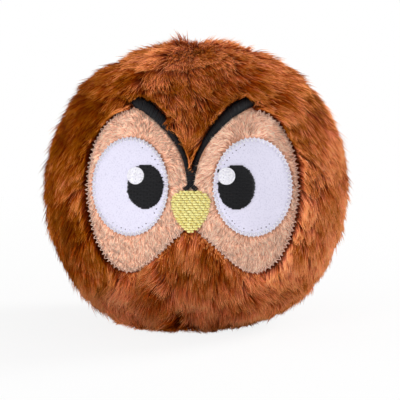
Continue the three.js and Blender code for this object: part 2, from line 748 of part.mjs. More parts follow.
// Reed plug: two halves that hold the reed between them, with a channel for the tongue
const ROOT_BOTTOM = PLUG_BOTTOM + PLUG_FLANGE;
const ROOT_TOP = ROOT_BOTTOM + REED_ROOT_LENGTH;
const TONGUE_BOTTOM = ROOT_TOP + CLEARANCE;

function reedBox(width, thickness, bottom, top) {
  return block(
    new THREE.Vector3(-width / 2, -thickness / 2, bottom),
    new THREE.Vector3(width / 2, thickness / 2, top),
  );
}

function plugHalf(side) {
  const radius = NECK_BORE - CLEARANCE;
  const whole = turned([
    flat(0, PLUG_BOTTOM),
    flat(NECK_RADIUS, PLUG_BOTTOM),
    flat(NECK_RADIUS, PLUG_BOTTOM + PLUG_FLANGE),
    flat(radius, PLUG_BOTTOM + PLUG_FLANGE),
    flat(radius, PLUG_TOP),
    flat(0, PLUG_TOP),
  ]);
  const pocket = reedBox(
    REED_ROOT_WIDTH + 2 * CLEARANCE,
    REED_THICKNESS + 2 * CLEARANCE,
    ROOT_BOTTOM - CLEARANCE,
    ROOT_TOP + CLEARANCE,
  );
  const channel = reedBox(CHANNEL_WIDTH, 2 * CHANNEL_DEPTH, ROOT_TOP, PLUG_TOP + CLEARANCE);
  const inlet = reedBox(CHANNEL_WIDTH, 2 * CHANNEL_DEPTH, PLUG_BOTTOM - CLEARANCE, ROOT_BOTTOM);
  return whole.intersect(halfSpace('y', side, SEAM_HALF)).subtract(pocket).subtract(channel).subtract(inlet);
}

const reedRoot = reedBox(REED_ROOT_WIDTH, REED_THICKNESS, ROOT_BOTTOM, ROOT_TOP);
const reedTongue = reedBox(REED_WIDTH, REED_THICKNESS, TONGUE_BOTTOM, TONGUE_BOTTOM + REED_TONGUE_LENGTH);

// Stuffing, grooved for the allowances, their threads, the backing and the squeaker
const STUFFING_TOP = COVER + CLEARANCE;
const GROOVE_FACE = THREAD_FACE + THREAD_RADIUS + CLEARANCE;
const core = ballForm(LINING + CLEARANCE);
const room = bulbRoom();
const backingRoom = facePrism(backingShape(CLEARANCE)).subtract(
  ballForm(BACKING_TOP + BACKING_THICKNESS + CLEARANCE),
);

const frontStuffing = ballForm(STUFFING_TOP)
  .intersect(halfSpace('y', -1, GROOVE_FACE))
  .subtract(backingRoom)
  .add(core.intersect(front))
  .subtract(room);

const rearFill = ballForm(STUFFING_TOP).intersect(halfSpace('y', 1, GROOVE_FACE));
const rearStuffing = rearFill
  .intersect(halfSpace('x', -1, GROOVE_FACE))
  .add(rearFill.intersect(halfSpace('x', 1, GROOVE_FACE)))
  .add(core.intersect(rear))
  .subtract(room);

// Finishes: colour, roughness, metalness
const FUR = [0x8a4a24, 0.95, 0];
const PLUSH = [0xcb9a7b, 0.95, 0];
const FELT = [0xe2deee, 0.9, 0];
const BLACK_THREAD = [0x16151a, 0.7, 0];
const WHITE_THREAD = [0xf2f1f4, 0.7, 0];
const YELLOW_THREAD = [0xe0d27e, 0.65, 0];
const TAN_THREAD = [0xd9b79c, 0.7, 0];
const BROWN_THREAD = [0x5f3620, 0.7, 0];
const BACKING = [0xece9e2, 0.95, 0];
const FIBRE = [0xf3f2ee, 1, 0];
const BULB = [0xdfe6e8, 0.35, 0];
const PLUG = [0xf4f1e6, 0.45, 0];
const REED = [0xd8c98f, 0.3, 0];

const owl = new THREE.Group();
owl.name = 'plush_owl_ball';

function addPart(name, solid, [color, roughness, metalness]) {
  const mesh = solid.getMesh();
  const geometry = new THREE.BufferGeometry();
  geometry.setAttribute('position', new THREE.Float32BufferAttribute(mesh.vertProperties, mesh.numProp));
  geometry.setIndex(Array.from(mesh.triVerts));
  const part = new THREE.Mesh(geometry, new THREE.MeshStandardMaterial({ color, roughness, metalness }));
  part.name = name;
  owl.add(part);
}

addPart('front_fur_panel', frontPanel, FUR);
addPart('rear_left_fur_panel', rearPanel(-1), FUR);
addPart('rear_right_fur_panel', rearPanel(1), FUR);
addPart('face_mask', mask, PLUSH);
for (const [name, side] of [['left', -1], ['right', 1]]) {
  addPart(`${name}_mask_stitch`, maskStitch(side), TAN_THREAD);
  addPart(`${name}_eye_disc`, eyeDisc(side), FELT);
  addPart(`${name}_eye_stitch`, eyeStitch(side), WHITE_THREAD);
  addPart(`${name}_pupil`, pupil(side), BLACK_THREAD);
  addPart(`${name}_highlight`, highlight(side), WHITE_THREAD);
  addPart(`${name}_brow`, brow(side), BLACK_THREAD);
}
addPart('brow_stem', stem, BLACK_THREAD);
addPart('beak', beak, YELLOW_THREAD);
addPart('embroidery_backing', backing, BACKING);
addPart('girth_seam_thread', girthSeamThread(), BROWN_THREAD);
addPart('back_seam_thread', backSeamThread(), BROWN_THREAD);
addPart('closing_stitch', closingStitch(), BROWN_THREAD);
addPart('front_stuffing', frontStuffing, FIBRE);
addPart('rear_stuffing', rearStuffing, FIBRE);
addPart('squeaker_cup', bulbCup(), BULB);
addPart('squeaker_folds', bulbFolds(), BULB);
addPart('squeaker_crown', bulbCrown(), BULB);
addPart('reed_holder', plugHalf(-1), PLUG);
addPart('reed_cover', plugHalf(1), PLUG);
addPart('reed_root', reedRoot, REED);
addPart('reed_tongue', reedTongue, REED);

export default owl;
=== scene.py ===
"""Dress the plush owl ball: long brown pile, a stitched face and a squeaker inside."""

import logging
import math
from collections.abc import Callable
from dataclasses import dataclass, field
from enum import Enum, IntEnum

import bpy
import numpy as np
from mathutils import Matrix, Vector
from mathutils.geometry import delaunay_2d_cdt
from mathutils.kdtree import KDTree
from numpy.typing import NDArray


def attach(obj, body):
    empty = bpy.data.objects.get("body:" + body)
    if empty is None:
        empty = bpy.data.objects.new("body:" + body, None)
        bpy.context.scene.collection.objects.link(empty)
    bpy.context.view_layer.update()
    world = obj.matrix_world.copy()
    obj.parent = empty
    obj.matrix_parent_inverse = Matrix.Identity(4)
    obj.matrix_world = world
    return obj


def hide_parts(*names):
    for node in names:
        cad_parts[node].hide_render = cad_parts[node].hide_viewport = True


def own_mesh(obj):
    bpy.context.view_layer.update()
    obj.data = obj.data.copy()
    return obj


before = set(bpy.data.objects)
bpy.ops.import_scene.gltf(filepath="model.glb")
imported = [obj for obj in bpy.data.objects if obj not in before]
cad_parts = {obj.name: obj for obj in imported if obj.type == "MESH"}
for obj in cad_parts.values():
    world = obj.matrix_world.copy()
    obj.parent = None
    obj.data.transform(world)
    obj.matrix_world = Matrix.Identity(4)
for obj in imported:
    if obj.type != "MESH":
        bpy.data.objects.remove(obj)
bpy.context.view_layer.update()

Array = NDArray[np.float64]
Flags = NDArray[np.bool_]
Faces = NDArray[np.int64]
Colour = tuple[int, int, int]
Pair = tuple[float, float]
Triple = tuple[float, float, float]
Depth = Callable[[Array, Array], Array]
Piece = bpy.types.Object
Socket = bpy.types.NodeSocket

MM = 0.001
TINY = 1e-12
TOY_BODY = "toy"
PILE_MAP = "OFBake"
RIGHTWARD = np.array([1.0, 0.0, 0.0])
FLIP = np.array([-1.0, 1.0])
FLIP_SPACE = np.array([-1.0, 1.0, 1.0])
log = logging.getLogger("owl_ball")


class Axis(IntEnum):
    """Axes of the shared frame: X to the right, Y to the back and Z up."""

    X = 0
    Y = 1
    Z = 2


X, Y, Z = Axis


class Slot(Enum):
    """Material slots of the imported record."""

    FUR = "fur"
    PLUSH = "plush"
    FELT = "felt"
    BLACK_THREAD = "black_thread"
    WHITE_THREAD = "white_thread"
    TAN_THREAD = "tan_thread"
    YELLOW_THREAD = "yellow_thread"
    BROWN_THREAD = "brown_thread"
    BACKING = "backing"
    FIBRE = "fibre"
    BULB = "bulb"
    PLUG = "plug"
    REED = "reed"


class Side(Enum):
    """The two halves of the face, as the camera sees them."""

    LEFT = -1
    RIGHT = 1

    @property
    def word(self) -> str:
        """Name of the side in piece names."""
        return self.name.lower()


class Panel(Enum):
    """Cut panels of the fur cover."""

    FRONT = "front"
    REAR_LEFT = "rear_left"
    REAR_RIGHT = "rear_right"

    @property
    def node(self) -> str:
        """CAD node of the panel."""
        return f"{self.value}_fur_panel"


def unit(vectors: Array) -> Array:
    """Scale vectors to a length of one."""
    return vectors / np.maximum(np.linalg.norm(vectors, axis=-1, keepdims=True), TINY)


def ease(values: Array, start: float, full: float) -> Array:
    """Smooth step from 0 at the start to 1 where it is full, above or below the start."""
    share = np.clip((values - start) / (full - start), 0.0, 1.0)
    return share * share * (3.0 - 2.0 * share)


def hump(offsets: Array, spread: float) -> Array:
    """Bell curve that is 1 at an offset of 0 and fades out over the spread."""
    return np.exp(-((offsets / spread) ** 2))


def fade(distance: Array, reach: float) -> Array:
    """Decay from 1 at a distance of 0, and 1 at negative distances."""
    return np.exp(-np.clip(distance, 0, None) / reach)


def linear(colour: Colour) -> tuple[float, ...]:
    """Linear shader colour of an 8-bit display colour.

    Args:
        colour: Red, green and blue.

    Returns:
        The linear colour and a full fourth part.
    """
    parts = [c / 255 for c in colour]
    return (*(c / 12.92 if c <= 0.04045 else ((c + 0.055) / 1.055) ** 2.4 for c in parts), 1.0)


def circle(turn: Array) -> Array:
    """Points of the unit circle at these angles."""
    return np.stack([np.cos(turn), np.sin(turn)], -1)


def ring(sides: int) -> Array:
    """Evenly spaced points of the unit circle."""
    return circle(np.linspace(0, 2 * np.pi, sides, endpoint=False))


def looped(outline: Array) -> Array:
    """A closed outline with its first point again at its end."""
    return np.concatenate([outline, outline[:1]])


def quads(grid: Faces) -> Faces:
    """Four-sided faces between the rows and columns of a grid of point numbers."""
    corners = [grid[:-1, :-1], grid[:-1, 1:], grid[1:, 1:], grid[1:, :-1]]
    return np.stack(corners, -1).reshape(-1, 4)


def left_of(ahead: Array) -> Array:
    """Flat directions after a quarter turn to the left."""
    return np.stack([-ahead[:, 1], ahead[:, 0]], 1)


def laid(vectors: Array, normals: Array) -> Array:
    """Directions of vectors once they are laid on a surface with these normals."""
    return unit(vectors - normals * (vectors * normals).sum(1)[:, None])


def swung(flow: Array, normals: Array, turn: Array) -> Array:
    """Directions along a surface after a turn about its normals."""
    return flow * np.cos(turn)[:, None] + np.cross(normals, flow) * np.sin(turn)[:, None]


def bezier(handles: Array, steps: int) -> Array:
    """Sample a cubic curve.

    Args:
        handles: Start, two handles and end.
        steps: Number of spans.

    Returns:
        Points from end to end.
    """
    t = np.linspace(0.0, 1.0, steps + 1)[:, None]
    a, b, c, d = np.asarray(handles, float)
    s = 1 - t
    return s**3 * a + 3 * s * s * t * b + 3 * s * t * t * c + t**3 * d


def spaced(line: Array, count: int) -> Array:
    """Space points evenly along a line.

    Args:
        line: Points of the line.
        count: Number wanted, both ends among them.

    Returns:
        The points.
    """
    run = np.concatenate([[0.0], np.cumsum(np.linalg.norm(np.diff(line, axis=0), axis=1))])
    at = np.linspace(0.0, run[-1], count)
    return np.stack([np.interp(at, run, column) for column in line.T], 1)


def length_of(line: Array) -> float:
    """Length of a line of points."""
    return float(np.linalg.norm(np.diff(line, axis=0), axis=1).sum())


def distance_to(outline: Array, points: Array, batch: int = 4000) -> Array:
    """Distance from points to a closed outline.

    Args:
        outline: Its corners, in order.
        points: Flat points.
        batch: Points taken at once.

    Returns:
        One distance per point.
    """
    run = np.roll(outline, -1, axis=0) - outline
    long = np.maximum((run**2).sum(1), TINY)
    found = np.empty(len(points))
    for start in range(0, len(points), batch):
        near = points[start : start + batch, None, :] - outline[None]
        share = np.clip((near * run).sum(2) / long, 0.0, 1.0)
        gap = near - share[:, :, None] * run
        found[start : start + batch] = np.sqrt((gap**2).sum(2).min(1))
    return found


def lies_inside(outline: Array, points: Array) -> Flags:
    """Whether points lie inside a closed outline.

    Args:
        outline: Its corners, in order.
        points: Flat points.

    Returns:
        One answer per point.
    """
    held = np.zeros(len(points), bool)
    x, y = points.T
    for (ax, ay), (bx, by) in zip(outline, np.roll(outline, -1, axis=0)):
        if ay != by:
            held ^= ((ay > y) != (by > y)) & (x < (bx - ax) * (y - ay) / (by - ay) + ax)
    return held


class Ripple:
    """Smooth seeded noise in space."""

    def __init__(self, wavelength: float, seed: int, waves: int = 14) -> None:
        """Draw the waves.

        Args:
            wavelength: Typical length of a wave.
            seed: Seed of the draw.
            waves: Number of waves.
        """
        rng = np.random.default_rng(seed)
        pace = rng.uniform(0.6, 1.5, (waves, 1)) * 2 * np.pi / wavelength
        self.waves = unit(rng.normal(size=(waves, 3))) * pace
        self.phase = rng.uniform(0, 2 * np.pi, waves)
        self.scale = 1.6 * math.sqrt(waves / 2)

    def at(self, points: Array) -> Array:
        """Noise at points, mostly from -1 to 1."""
        return np.sin(points @ self.waves.T + self.phase).sum(1) / self.scale


@dataclass(frozen=True)
class Patch:
    """Amount that fades in along axes, each with its start and where it is full."""

    amount: float
    ramps: tuple[tuple[Axis, float, float], ...]

    def at(self, points: Array) -> Array:
        """The amount at points of space."""
        return self.amount * np.prod([ease(points[:, a], *ends) for a, *ends in self.ramps], 0)


@dataclass(frozen=True)
class Spot:
    """Amount that fades out round a point of the face plane."""

    across: float
    up: float
    spread: float
    amount: float

    def at(self, flat: Array) -> Array:
        """The amount at points of the face plane."""
        away = (flat[..., 0] - self.across) ** 2 + (flat[..., 1] - self.up) ** 2
        return self.amount * np.exp(-away / (2 * self.spread**2))


@dataclass(frozen=True)
class BallForm:
    """Surface of the stuffed ball at any depth below the tips of its pile, in millimetres."""

    width: float = 100.0
    depth: float = 98.0
    girth: float = 44.5
    crown_rise: float = 49.4
    base_radius: float = 25.0
    base_tuck: float = 0.3
    fullness: float = 2.12
    seam_dip: float = 1.2
    seam_dip_width: float = 4.0
    dart_width: float = 3.0
    chin_dart_dip: float = 2.6
    chin_dart_top: float = 18.0
    crown_dart_dip: float = 1.6
    crown_dart_reach: float = 22.0
    face_tilt: float = math.radians(8)
    halvings: int = 26

    @property
    def face_axis(self) -> Array:
        """Direction out of the face."""
        return np.array([0.0, -math.cos(self.face_tilt), math.sin(self.face_tilt)])

    @property
    def face_up(self) -> Array:
        """Upward direction in the plane of the face."""
        return np.array([0.0, math.sin(self.face_tilt), math.cos(self.face_tilt)])

    def outline(self, inset: Array) -> tuple[Array, Array, Array, Array, Array]:
        """Sizes of the form.

        Args:
            inset: Depth below the pile.

        Returns:
            Half width, half depth, angle of the base's edge, drop and rise from the girth.
        """
        half_width = self.width / 2 - inset
        base_share = (self.base_radius - inset * self.base_tuck) / half_width
        base_angle = np.arccos(base_share ** (self.fullness / 2))
        drop = (self.girth - inset) / np.sin(base_angle) ** (2 / self.fullness)
        return half_width, self.depth / 2 - inset, base_angle, drop, self.crown_rise - inset

    def dip(self, points: Array) -> Array:
        """How far the seams and darts draw the cover in.

        Args:
            points: Points of the ball.

        Returns:
            One depth per point.
        """
        x, y, z = np.moveaxis(points, -1, 0)
        across = hump(x, self.dart_width)
        chin = self.chin_dart_dip * np.sqrt(np.clip(1 - z / self.chin_dart_top, 0, None)) * across
        crown = self.crown_dart_dip * np.clip(1 + y / self.crown_dart_reach, 0, None) * across
        front = np.maximum(chin, np.where(z > self.girth, crown, 0.0))
        back = self.seam_dip * hump(x, self.seam_dip_width)
        girth = self.seam_dip * hump(y, self.seam_dip_width)
        return np.maximum(girth, np.where(y > 0, back, front))

    def point(self, azimuth: Array, level: Array, inset: float) -> Array:
        """Points of the cover.

        Args:
            azimuth: Angles round the ball, from its right side.
            level: Heights, -1 at the base, 0 at the girth, 1 at the crown.
            inset: Depth below the pile.

        Returns:
            Points in space.
        """
        half_width, half_depth, base_angle, drop, rise = self.outline(np.float64(inset))
        angle = level * np.where(level < 0, base_angle, np.pi / 2)
        share = np.clip(np.cos(angle), 0, None) ** (2 / self.fullness)
        lift = np.abs(np.sin(angle)) ** (2 / self.fullness)
        z = self.girth + np.where(level < 0, -drop, rise) * lift
        x = half_width * share * np.cos(azimuth)
        y = half_depth * share * np.sin(azimuth)
        points = np.stack([x, y, z], -1)
        inward = unit(np.stack([-x, -y, np.minimum(0.0, self.girth - z)], -1))
        return points + inward * self.dip(points)[..., None]

    def from_face(self, flat: Array) -> Array:
        """Steps of the face plane as steps in space."""
        return flat[..., :1] * RIGHTWARD + flat[..., 1:] * self.face_up

    def to_face(self, points: Array) -> Array:
        """Where points of space lie in the face plane."""
        up = (points - np.array([0.0, 0.0, self.girth])) @ self.face_up
        return np.stack([points[..., 0], up], -1)

    def on_face(self, flat: Array, inset: Array | float) -> Array:
        """Points of the cover in front of the face plane.

        Args:
            flat: Points of that plane, right and up from its middle.
            inset: Depth below the pile, one for all or one for each.

        Returns:
            Points in space.
        """
        count = flat.shape[:-1]
        half_width, half_depth, _, drop, rise = self.outline(np.broadcast_to(inset, count))
        base = self.from_face(flat) + np.array([0.0, 0.0, self.girth])
        near, far = np.zeros(count), np.full(count, self.depth)
        for _ in range(self.halvings):
            middle = (near + far) / 2
            p = base + middle[..., None] * self.face_axis
            share = np.hypot(p[..., 0] / half_width, p[..., 1] / half_depth)
            above = p[..., 2] - self.girth
            lift = np.abs(above) / np.where(above > 0, rise, drop)
            held = share**self.fullness + lift**self.fullness < 1
            near, far = np.where(held, middle, near), np.where(held, far, middle)
        return base + near[..., None] * self.face_axis

    def outward(self, points: Array) -> Array:
        """Directions straight out of the cover.

        Args:
            points: Points near it.

        Returns:
            One direction per point.
        """
        half_width, half_depth, _, drop, rise = self.outline(np.float64(0.0))
        x, y, above = points[..., 0], points[..., 1], points[..., 2] - self.girth
        power, least = self.fullness - 2, 1e-6
        ring = np.maximum(np.hypot(x / half_width, y / half_depth), least) ** power
        tall = np.where(above > 0, rise, drop)
        lift = np.maximum(np.abs(above) / tall, least) ** power
        lean = [ring * x / half_width**2, ring * y / half_depth**2, lift * above / tall**2]
        return unit(np.stack(lean, -1))


@dataclass(frozen=True)
class FacePattern:
    """Flat outlines of the face pieces, in millimetres from the middle between the eyes."""

    eye_spacing: float = 38.0
    eye_width: float = 23.8
    eye_height: float = 31.0
    eye_outward: float = 0.4
    mask_side: float = 2.5
    mask_top: float = 8.8
    mask_bottom: float = 11.4
    mask_notch: float = 12.2
    mask_flare: float = 1.1
    lobe_floor: float = 0.7
    lobe_notch: float = 0.47
    lobe_fall: float = 0.36
    pupil_cross: float = 4.7
    pupil_width: float = 11.5
    pupil_height: float = 14.0
    highlight_radius: float = 2.55
    highlight_left: float = 3.1
    highlight_up: float = 3.4
    beak_top: float = 1.2
    beak_width: float = 12.9
    beak_cheek: float = 3.4
    beak_height: float = 13.2
    beak_taper: float = 0.64
    brow_foot: float = 1.9
    brow_tip: float = 4.4
    brow_tip_in: float = 1.6
    brow_tip_up: float = 2.4
    brow_rise: Pair = (0.03, 0.28)
    brow_sweep: Pair = (0.5, 0.83)
    brow_swell: Pair = (0.2, 0.9)
    stem_width: float = 3.0
    stem_top: float = 5.0
    gap: float = 0.3
    arc_steps: int = 30
    cap_steps: int = 16

    @staticmethod
    def oval(x: float, y: float, width: float, height: float, steps: int = 120) -> Array:
        """Points of an ellipse, counter-clockwise."""
        return np.array([x, y]) + np.array([width / 2, height / 2]) * ring(steps)

    def eye(self, side: Side, grow: float = 0.0) -> Array:
        """Outline of an eye disc.

        Args:
            side: Which eye.
            grow: How far outside the disc it runs.

        Returns:
            Points of the outline.
        """
        centre = side.value * (self.eye_spacing / 2 + self.eye_outward)
        width = self.eye_width + 2 * (self.eye_outward + grow)
        return self.oval(centre, 0.0, width, self.eye_height + 2 * grow)

    def pupil_at(self, side: Side) -> float:
        """Sideways place of a pupil's middle."""
        return side.value * (self.eye_spacing / 2 - self.pupil_cross)

    def pupil(self, side: Side, grow: float = 0.0) -> Array:
        """Outline of a pupil, or of a larger oval round it."""
        width, height = self.pupil_width + 2 * grow, self.pupil_height + 2 * grow
        return self.oval(self.pupil_at(side), 0.0, width, height)

    def highlight(self, side: Side) -> Array:
        """Outline of a highlight."""
        size = 2 * self.highlight_radius
        return self.oval(self.pupil_at(side) - self.highlight_left, self.highlight_up, size, size)

    def mask_border(self, side: Side) -> Array:
        """Free edge of one lobe of the mask.

        Args:
            side: Which lobe.

        Returns:
            Points from the peak, round the eye, to the notch under the beak.
        """
        centre, flare, notch = self.eye_spacing / 2, self.mask_flare, -self.mask_notch
        steps = self.arc_steps
        half = self.eye_width / 2 + self.mask_side
        up = self.eye_height / 2 + self.mask_top
        down = self.eye_height / 2 + self.mask_bottom
        top = circle(np.linspace(np.pi / 2, 0, steps))
        low = circle(np.linspace(0, -np.pi / 2, steps)[1:])
        upper = np.array([centre, 0.0]) + np.array([half, up]) * top
        lower = np.array([centre + flare, 0.0]) + np.array([half - flare, down]) * low
        handles = [
            [centre + flare, -down],
            [centre * self.lobe_floor, -down],
            [centre * self.lobe_notch, notch - (down + notch) * self.lobe_fall],
            [0.0, notch],
        ]
        line = np.concatenate([upper, lower, bezier(handles, steps)[1:]])
        return line * np.array([side.value, 1.0])

    def brow_line(self, side: Side, steps: int = 60) -> Array:
        """Middle line of a brow.

        Args:
            side: Which brow.
            steps: Number of spans.

        Returns:
            Points from the stem to the brow's tip.
        """
        foot = np.array([(self.brow_foot + self.gap) / 2, self.stem_top + self.gap])
        peak = self.eye_height / 2 + self.mask_top
        tip = np.array([self.eye_spacing / 2 - self.brow_tip_in, peak + self.brow_tip_up])
        reach = tip - foot
        handles = [foot, foot + reach * self.brow_rise, foot + reach * self.brow_sweep, tip]
        return bezier(handles, steps) * np.array([side.value, 1.0])

    def brow_half(self, share: Array) -> Array:
        """Half the width of a brow along its middle line."""
        swell = ease(share, *self.brow_swell)
        return (self.brow_foot + (self.brow_tip - self.brow_foot) * swell) / 2

    def brow(self, side: Side) -> Array:
        """Outline of a brow, with its round tip.

        Args:
            side: Which brow.

        Returns:
            Points of the outline.
        """
        line = self.brow_line(side)
        ahead = unit(np.gradient(line, axis=0))
        wide = left_of(ahead) * self.brow_half(np.linspace(0, 1, len(line)))[:, None]
        heading = math.atan2(ahead[-1, 1], ahead[-1, 0])
        turn = heading + np.linspace(np.pi / 2, -np.pi / 2, self.cap_steps)[1:-1]
        cap = line[-1] + self.brow_tip / 2 * circle(turn)
        return np.concatenate([line + wide, cap, (line - wide)[::-1]])

    def stem(self) -> Array:
        """Outline of the stem between the brows."""
        half, foot, top = self.stem_width / 2, self.gap - self.beak_top, self.stem_top
        return np.array([[-half, foot], [half, foot], [half, top], [-half, top]])

    def beak(self) -> Array:
        """Outline of the beak, with round shoulders and a blunt point.

        Returns:
            Points of the outline.
        """
        half, top = self.beak_width / 2, -self.beak_top
        cheek, point = top - self.beak_cheek, top - self.beak_height
        bulge = [half * 0.98, top - self.beak_cheek / 2]
        shoulder = [[0, top], [half * 0.85, top], bulge, [half, cheek]]
        taper = cheek + (point - cheek) * self.beak_taper
        jaw = [[half, cheek], [half, taper], [half * 0.2, point], [0, point]]
        right = np.concatenate([bezier(shoulder, 20), bezier(jaw, 24)[1:]])
        return np.concatenate([right, right[-2:0:-1] * FLIP])

    def mask(self) -> Array:
        """Outline of the mask: up one brow, round that lobe and back.

        Returns:
            Points of the outline.
        """
        brow, border = self.brow_line(Side.RIGHT, 24), self.mask_border(Side.RIGHT)
        right = np.concatenate([brow, border[1:]])
        return np.concatenate([[[0.0, -self.beak_top]], right, right[-2::-1] * FLIP])


class ClearField:
    """Distances in the face plane from the sewn face, negative inside it."""

    def __init__(self, outlines: list[Array], reach: float = 50.0, step: float = 0.5) -> None:
        """Sample the distances on a grid.

        Args:
            outlines: Closed outlines of the face.
            reach: Half the grid's side.
            step: Spacing of the grid.
        """
        self.reach, self.step = reach, step
        ticks = np.arange(-reach, reach + step, step)
        points = np.stack(np.meshgrid(ticks, ticks, indexing="ij"), -1).reshape(-1, 2)
        gap = np.full(len(points), np.inf)
        for outline in outlines:
            away = distance_to(outline, points)
            gap = np.minimum(gap, np.where(lies_inside(outline, points), -away, away))
        self.gap = gap.reshape(len(ticks), len(ticks))
        self.slope = np.stack(np.gradient(self.gap, step), -1)

    def at(self, flat: Array) -> tuple[Array, Array]:
        """Look distances up.

        Args:
            flat: Points of the face plane.

        Returns:
            Distances, and the directions in which they grow.
        """
        place = np.clip((flat + self.reach) / self.step, 0, len(self.gap) - 1.001)
        low = place.astype(int)
        share = place - low
        gap, slope = 0.0, 0.0
        for i in (0, 1):
            for j in (0, 1):
                weight = np.abs(1 - i - share[..., 0]) * np.abs(1 - j - share[..., 1])
                corner = low[..., 0] + i, low[..., 1] + j
                gap = gap + weight * self.gap[corner]
                slope = slope + weight[..., None] * self.slope[corner]
        return gap, unit(slope)


class NodeBench:
    """Lays out the nodes of one finish."""

    def __init__(self, name: str) -> None:
        """Start a material.

        Args:
            name: Its name.
        """
        self.material = bpy.data.materials.new(name)
        self.material.use_nodes = True
        self.tree = self.material.node_tree
        self.shader = self.tree.nodes["Principled BSDF"]
        self.place = self.node("ShaderNodeTexCoord").outputs["Object"]

    def node(self, kind: str, **settings: object) -> bpy.types.Node:
        """Add a node.

        Args:
            kind: Blender's name of its type.
            **settings: Its own settings.

        Returns:
            The node.
        """
        made = self.tree.nodes.new(kind)
        for name, value in settings.items():
            setattr(made, name, value)
        return made

    def feed(self, node: bpy.types.Node, **values: object) -> bpy.types.Node:
        """Set or link a node's inputs.

        Args:
            node: The node.
            **values: A value or an output per input, with _ for a space.

        Returns:
            The same node.
        """
        for name, value in values.items():
            socket = node.inputs[name.replace("_", " ")]
            if isinstance(value, Socket):
                self.tree.links.new(value, socket)
            else:
                socket.default_value = value
        return node

    def noise(self, size: float, detail: float, stretch: Triple = (1, 1, 1)) -> Socket:
        """Noise over the piece.

        Args:
            size: Size of its grains.
            detail: Number of finer layers.
            stretch: How much finer it runs along each axis.

        Returns:
            Its factor.
        """
        mapped = self.feed(self.node("ShaderNodeMapping"), Vector=self.place, Scale=stretch)
        made = self.node("ShaderNodeTexNoise")
        self.feed(made, Vector=mapped.outputs[0], Scale=1 / (size * MM), Detail=detail)
        return made.outputs["Fac"]

    def cells(self, size: float) -> Socket:
        """Distances to the middles of cells of this size in millimetres."""
        made = self.node("ShaderNodeTexVoronoi")
        return self.feed(made, Vector=self.place, Scale=1 / (size * MM)).outputs["Distance"]

    def ramp(self, factor: Socket, *stops: tuple[float, Colour]) -> Socket:
        """Colours along a factor.

        Args:
            factor: What they follow.
            *stops: Places from 0 to 1, each with its colour.

        Returns:
            The colour.
        """
        made = self.feed(self.node("ShaderNodeValToRGB"), Fac=factor)
        points = made.color_ramp.elements
        while len(points) < len(stops):
            points.new(0.5)
        for point, (place, colour) in zip(points, stops):
            point.position, point.color = place, linear(colour)
        return made.outputs["Color"]

    def spread(self, factor: Socket, low: float, high: float) -> Socket:
        """Numbers from low to high as the factor goes from 0 to 1."""
        made = self.feed(self.node("ShaderNodeMapRange"), Value=factor, To_Min=low, To_Max=high)
        return made.outputs["Result"]

    def mottle(self, pattern: Socket, share: float, colour: Socket, toward: Colour) -> Socket:
        """Draw a colour toward another in patches.

        Args:
            pattern: What the patches follow.
            share: Greatest share of the other colour.
            colour: The colour.
            toward: The other colour.

        Returns:
            The mixed colour.
        """
        made = self.node("ShaderNodeMix", data_type="RGBA")
        factor, first, second = made.inputs[0], made.inputs[6], made.inputs[7]
        self.tree.links.new(self.spread(pattern, 0.0, share), factor)
        self.tree.links.new(colour, first)
        second.default_value = linear(toward)
        return made.outputs[2]

    def raise_by(self, height: Socket, strength: float, distance: float) -> None:
        """Bump the surface.

        Args:
            height: What the bump follows.
            strength: How much of it shows.
            distance: Its height.
        """
        made = self.node("ShaderNodeBump")
        self.feed(made, Height=height, Strength=strength, Distance=distance * MM)
        self.feed(self.shader, Normal=made.outputs["Normal"])


@dataclass(frozen=True)
class Finish:
    """Material of a slot, with a darker colour, partly painted shade in its hollows, and one for
    the rest.
    """

    name: str
    slot: Slot
    deep: Colour
    body: Colour

    def material(self) -> bpy.types.Material:
        """Make the material."""
        raise NotImplementedError


@dataclass(frozen=True)
class PileFinish(Finish):
    """Strands that are dark at the root, partly as painted shade deep in the pile, and pale at the
    tip, each with a tone of its own.
    """

    low: Colour
    tip: Colour
    values: Pair
    sheen: float
    tint: Colour
    gloss: float

    def material(self) -> bpy.types.Material:
        """Make the material, by the strands' map: tone across, root to tip upward.

        Returns:
            The material.
        """
        bench = NodeBench(self.name)
        strand = bench.node("ShaderNodeSeparateXYZ")
        bench.feed(strand, Vector=bench.node("ShaderNodeUVMap", uv_map=PILE_MAP).outputs["UV"])
        tone, along = strand.outputs["X"], strand.outputs["Y"]
        # Dark at the root, partly painted shade deep in the pile.
        stops = (0.0, self.deep), (0.34, self.low), (0.7, self.body), (1.0, self.tip)
        tinted = bench.feed(
            bench.node("ShaderNodeHueSaturation"),
            Hue=bench.spread(tone, 0.492, 0.506),
            Saturation=bench.spread(tone, 1.1, 0.84),
            Value=bench.spread(tone, *self.values),
            Color=bench.ramp(along, *stops),
        )
        bench.feed(
            bench.shader,
            Base_Color=tinted.outputs["Color"],
            Roughness=bench.spread(along, 0.75, 0.5),
            Specular_IOR_Level=self.gloss,
            Specular_Tint=linear(self.tint),
            Sheen_Weight=self.sheen,
            Sheen_Roughness=0.4,
            Sheen_Tint=linear(self.tint),
        )
        return bench.material


@dataclass(frozen=True)
class Grain:
    """Texture of a finish: noise, or cells where it has no detail."""

    size: float
    detail: float = 0.0
    stretch: Triple = (1.0, 1.0, 1.0)

    def on(self, bench: NodeBench) -> Socket:
        """Lay the texture out."""
        if self.detail:
            return bench.noise(self.size, self.detail, self.stretch)
        return bench.cells(self.size)


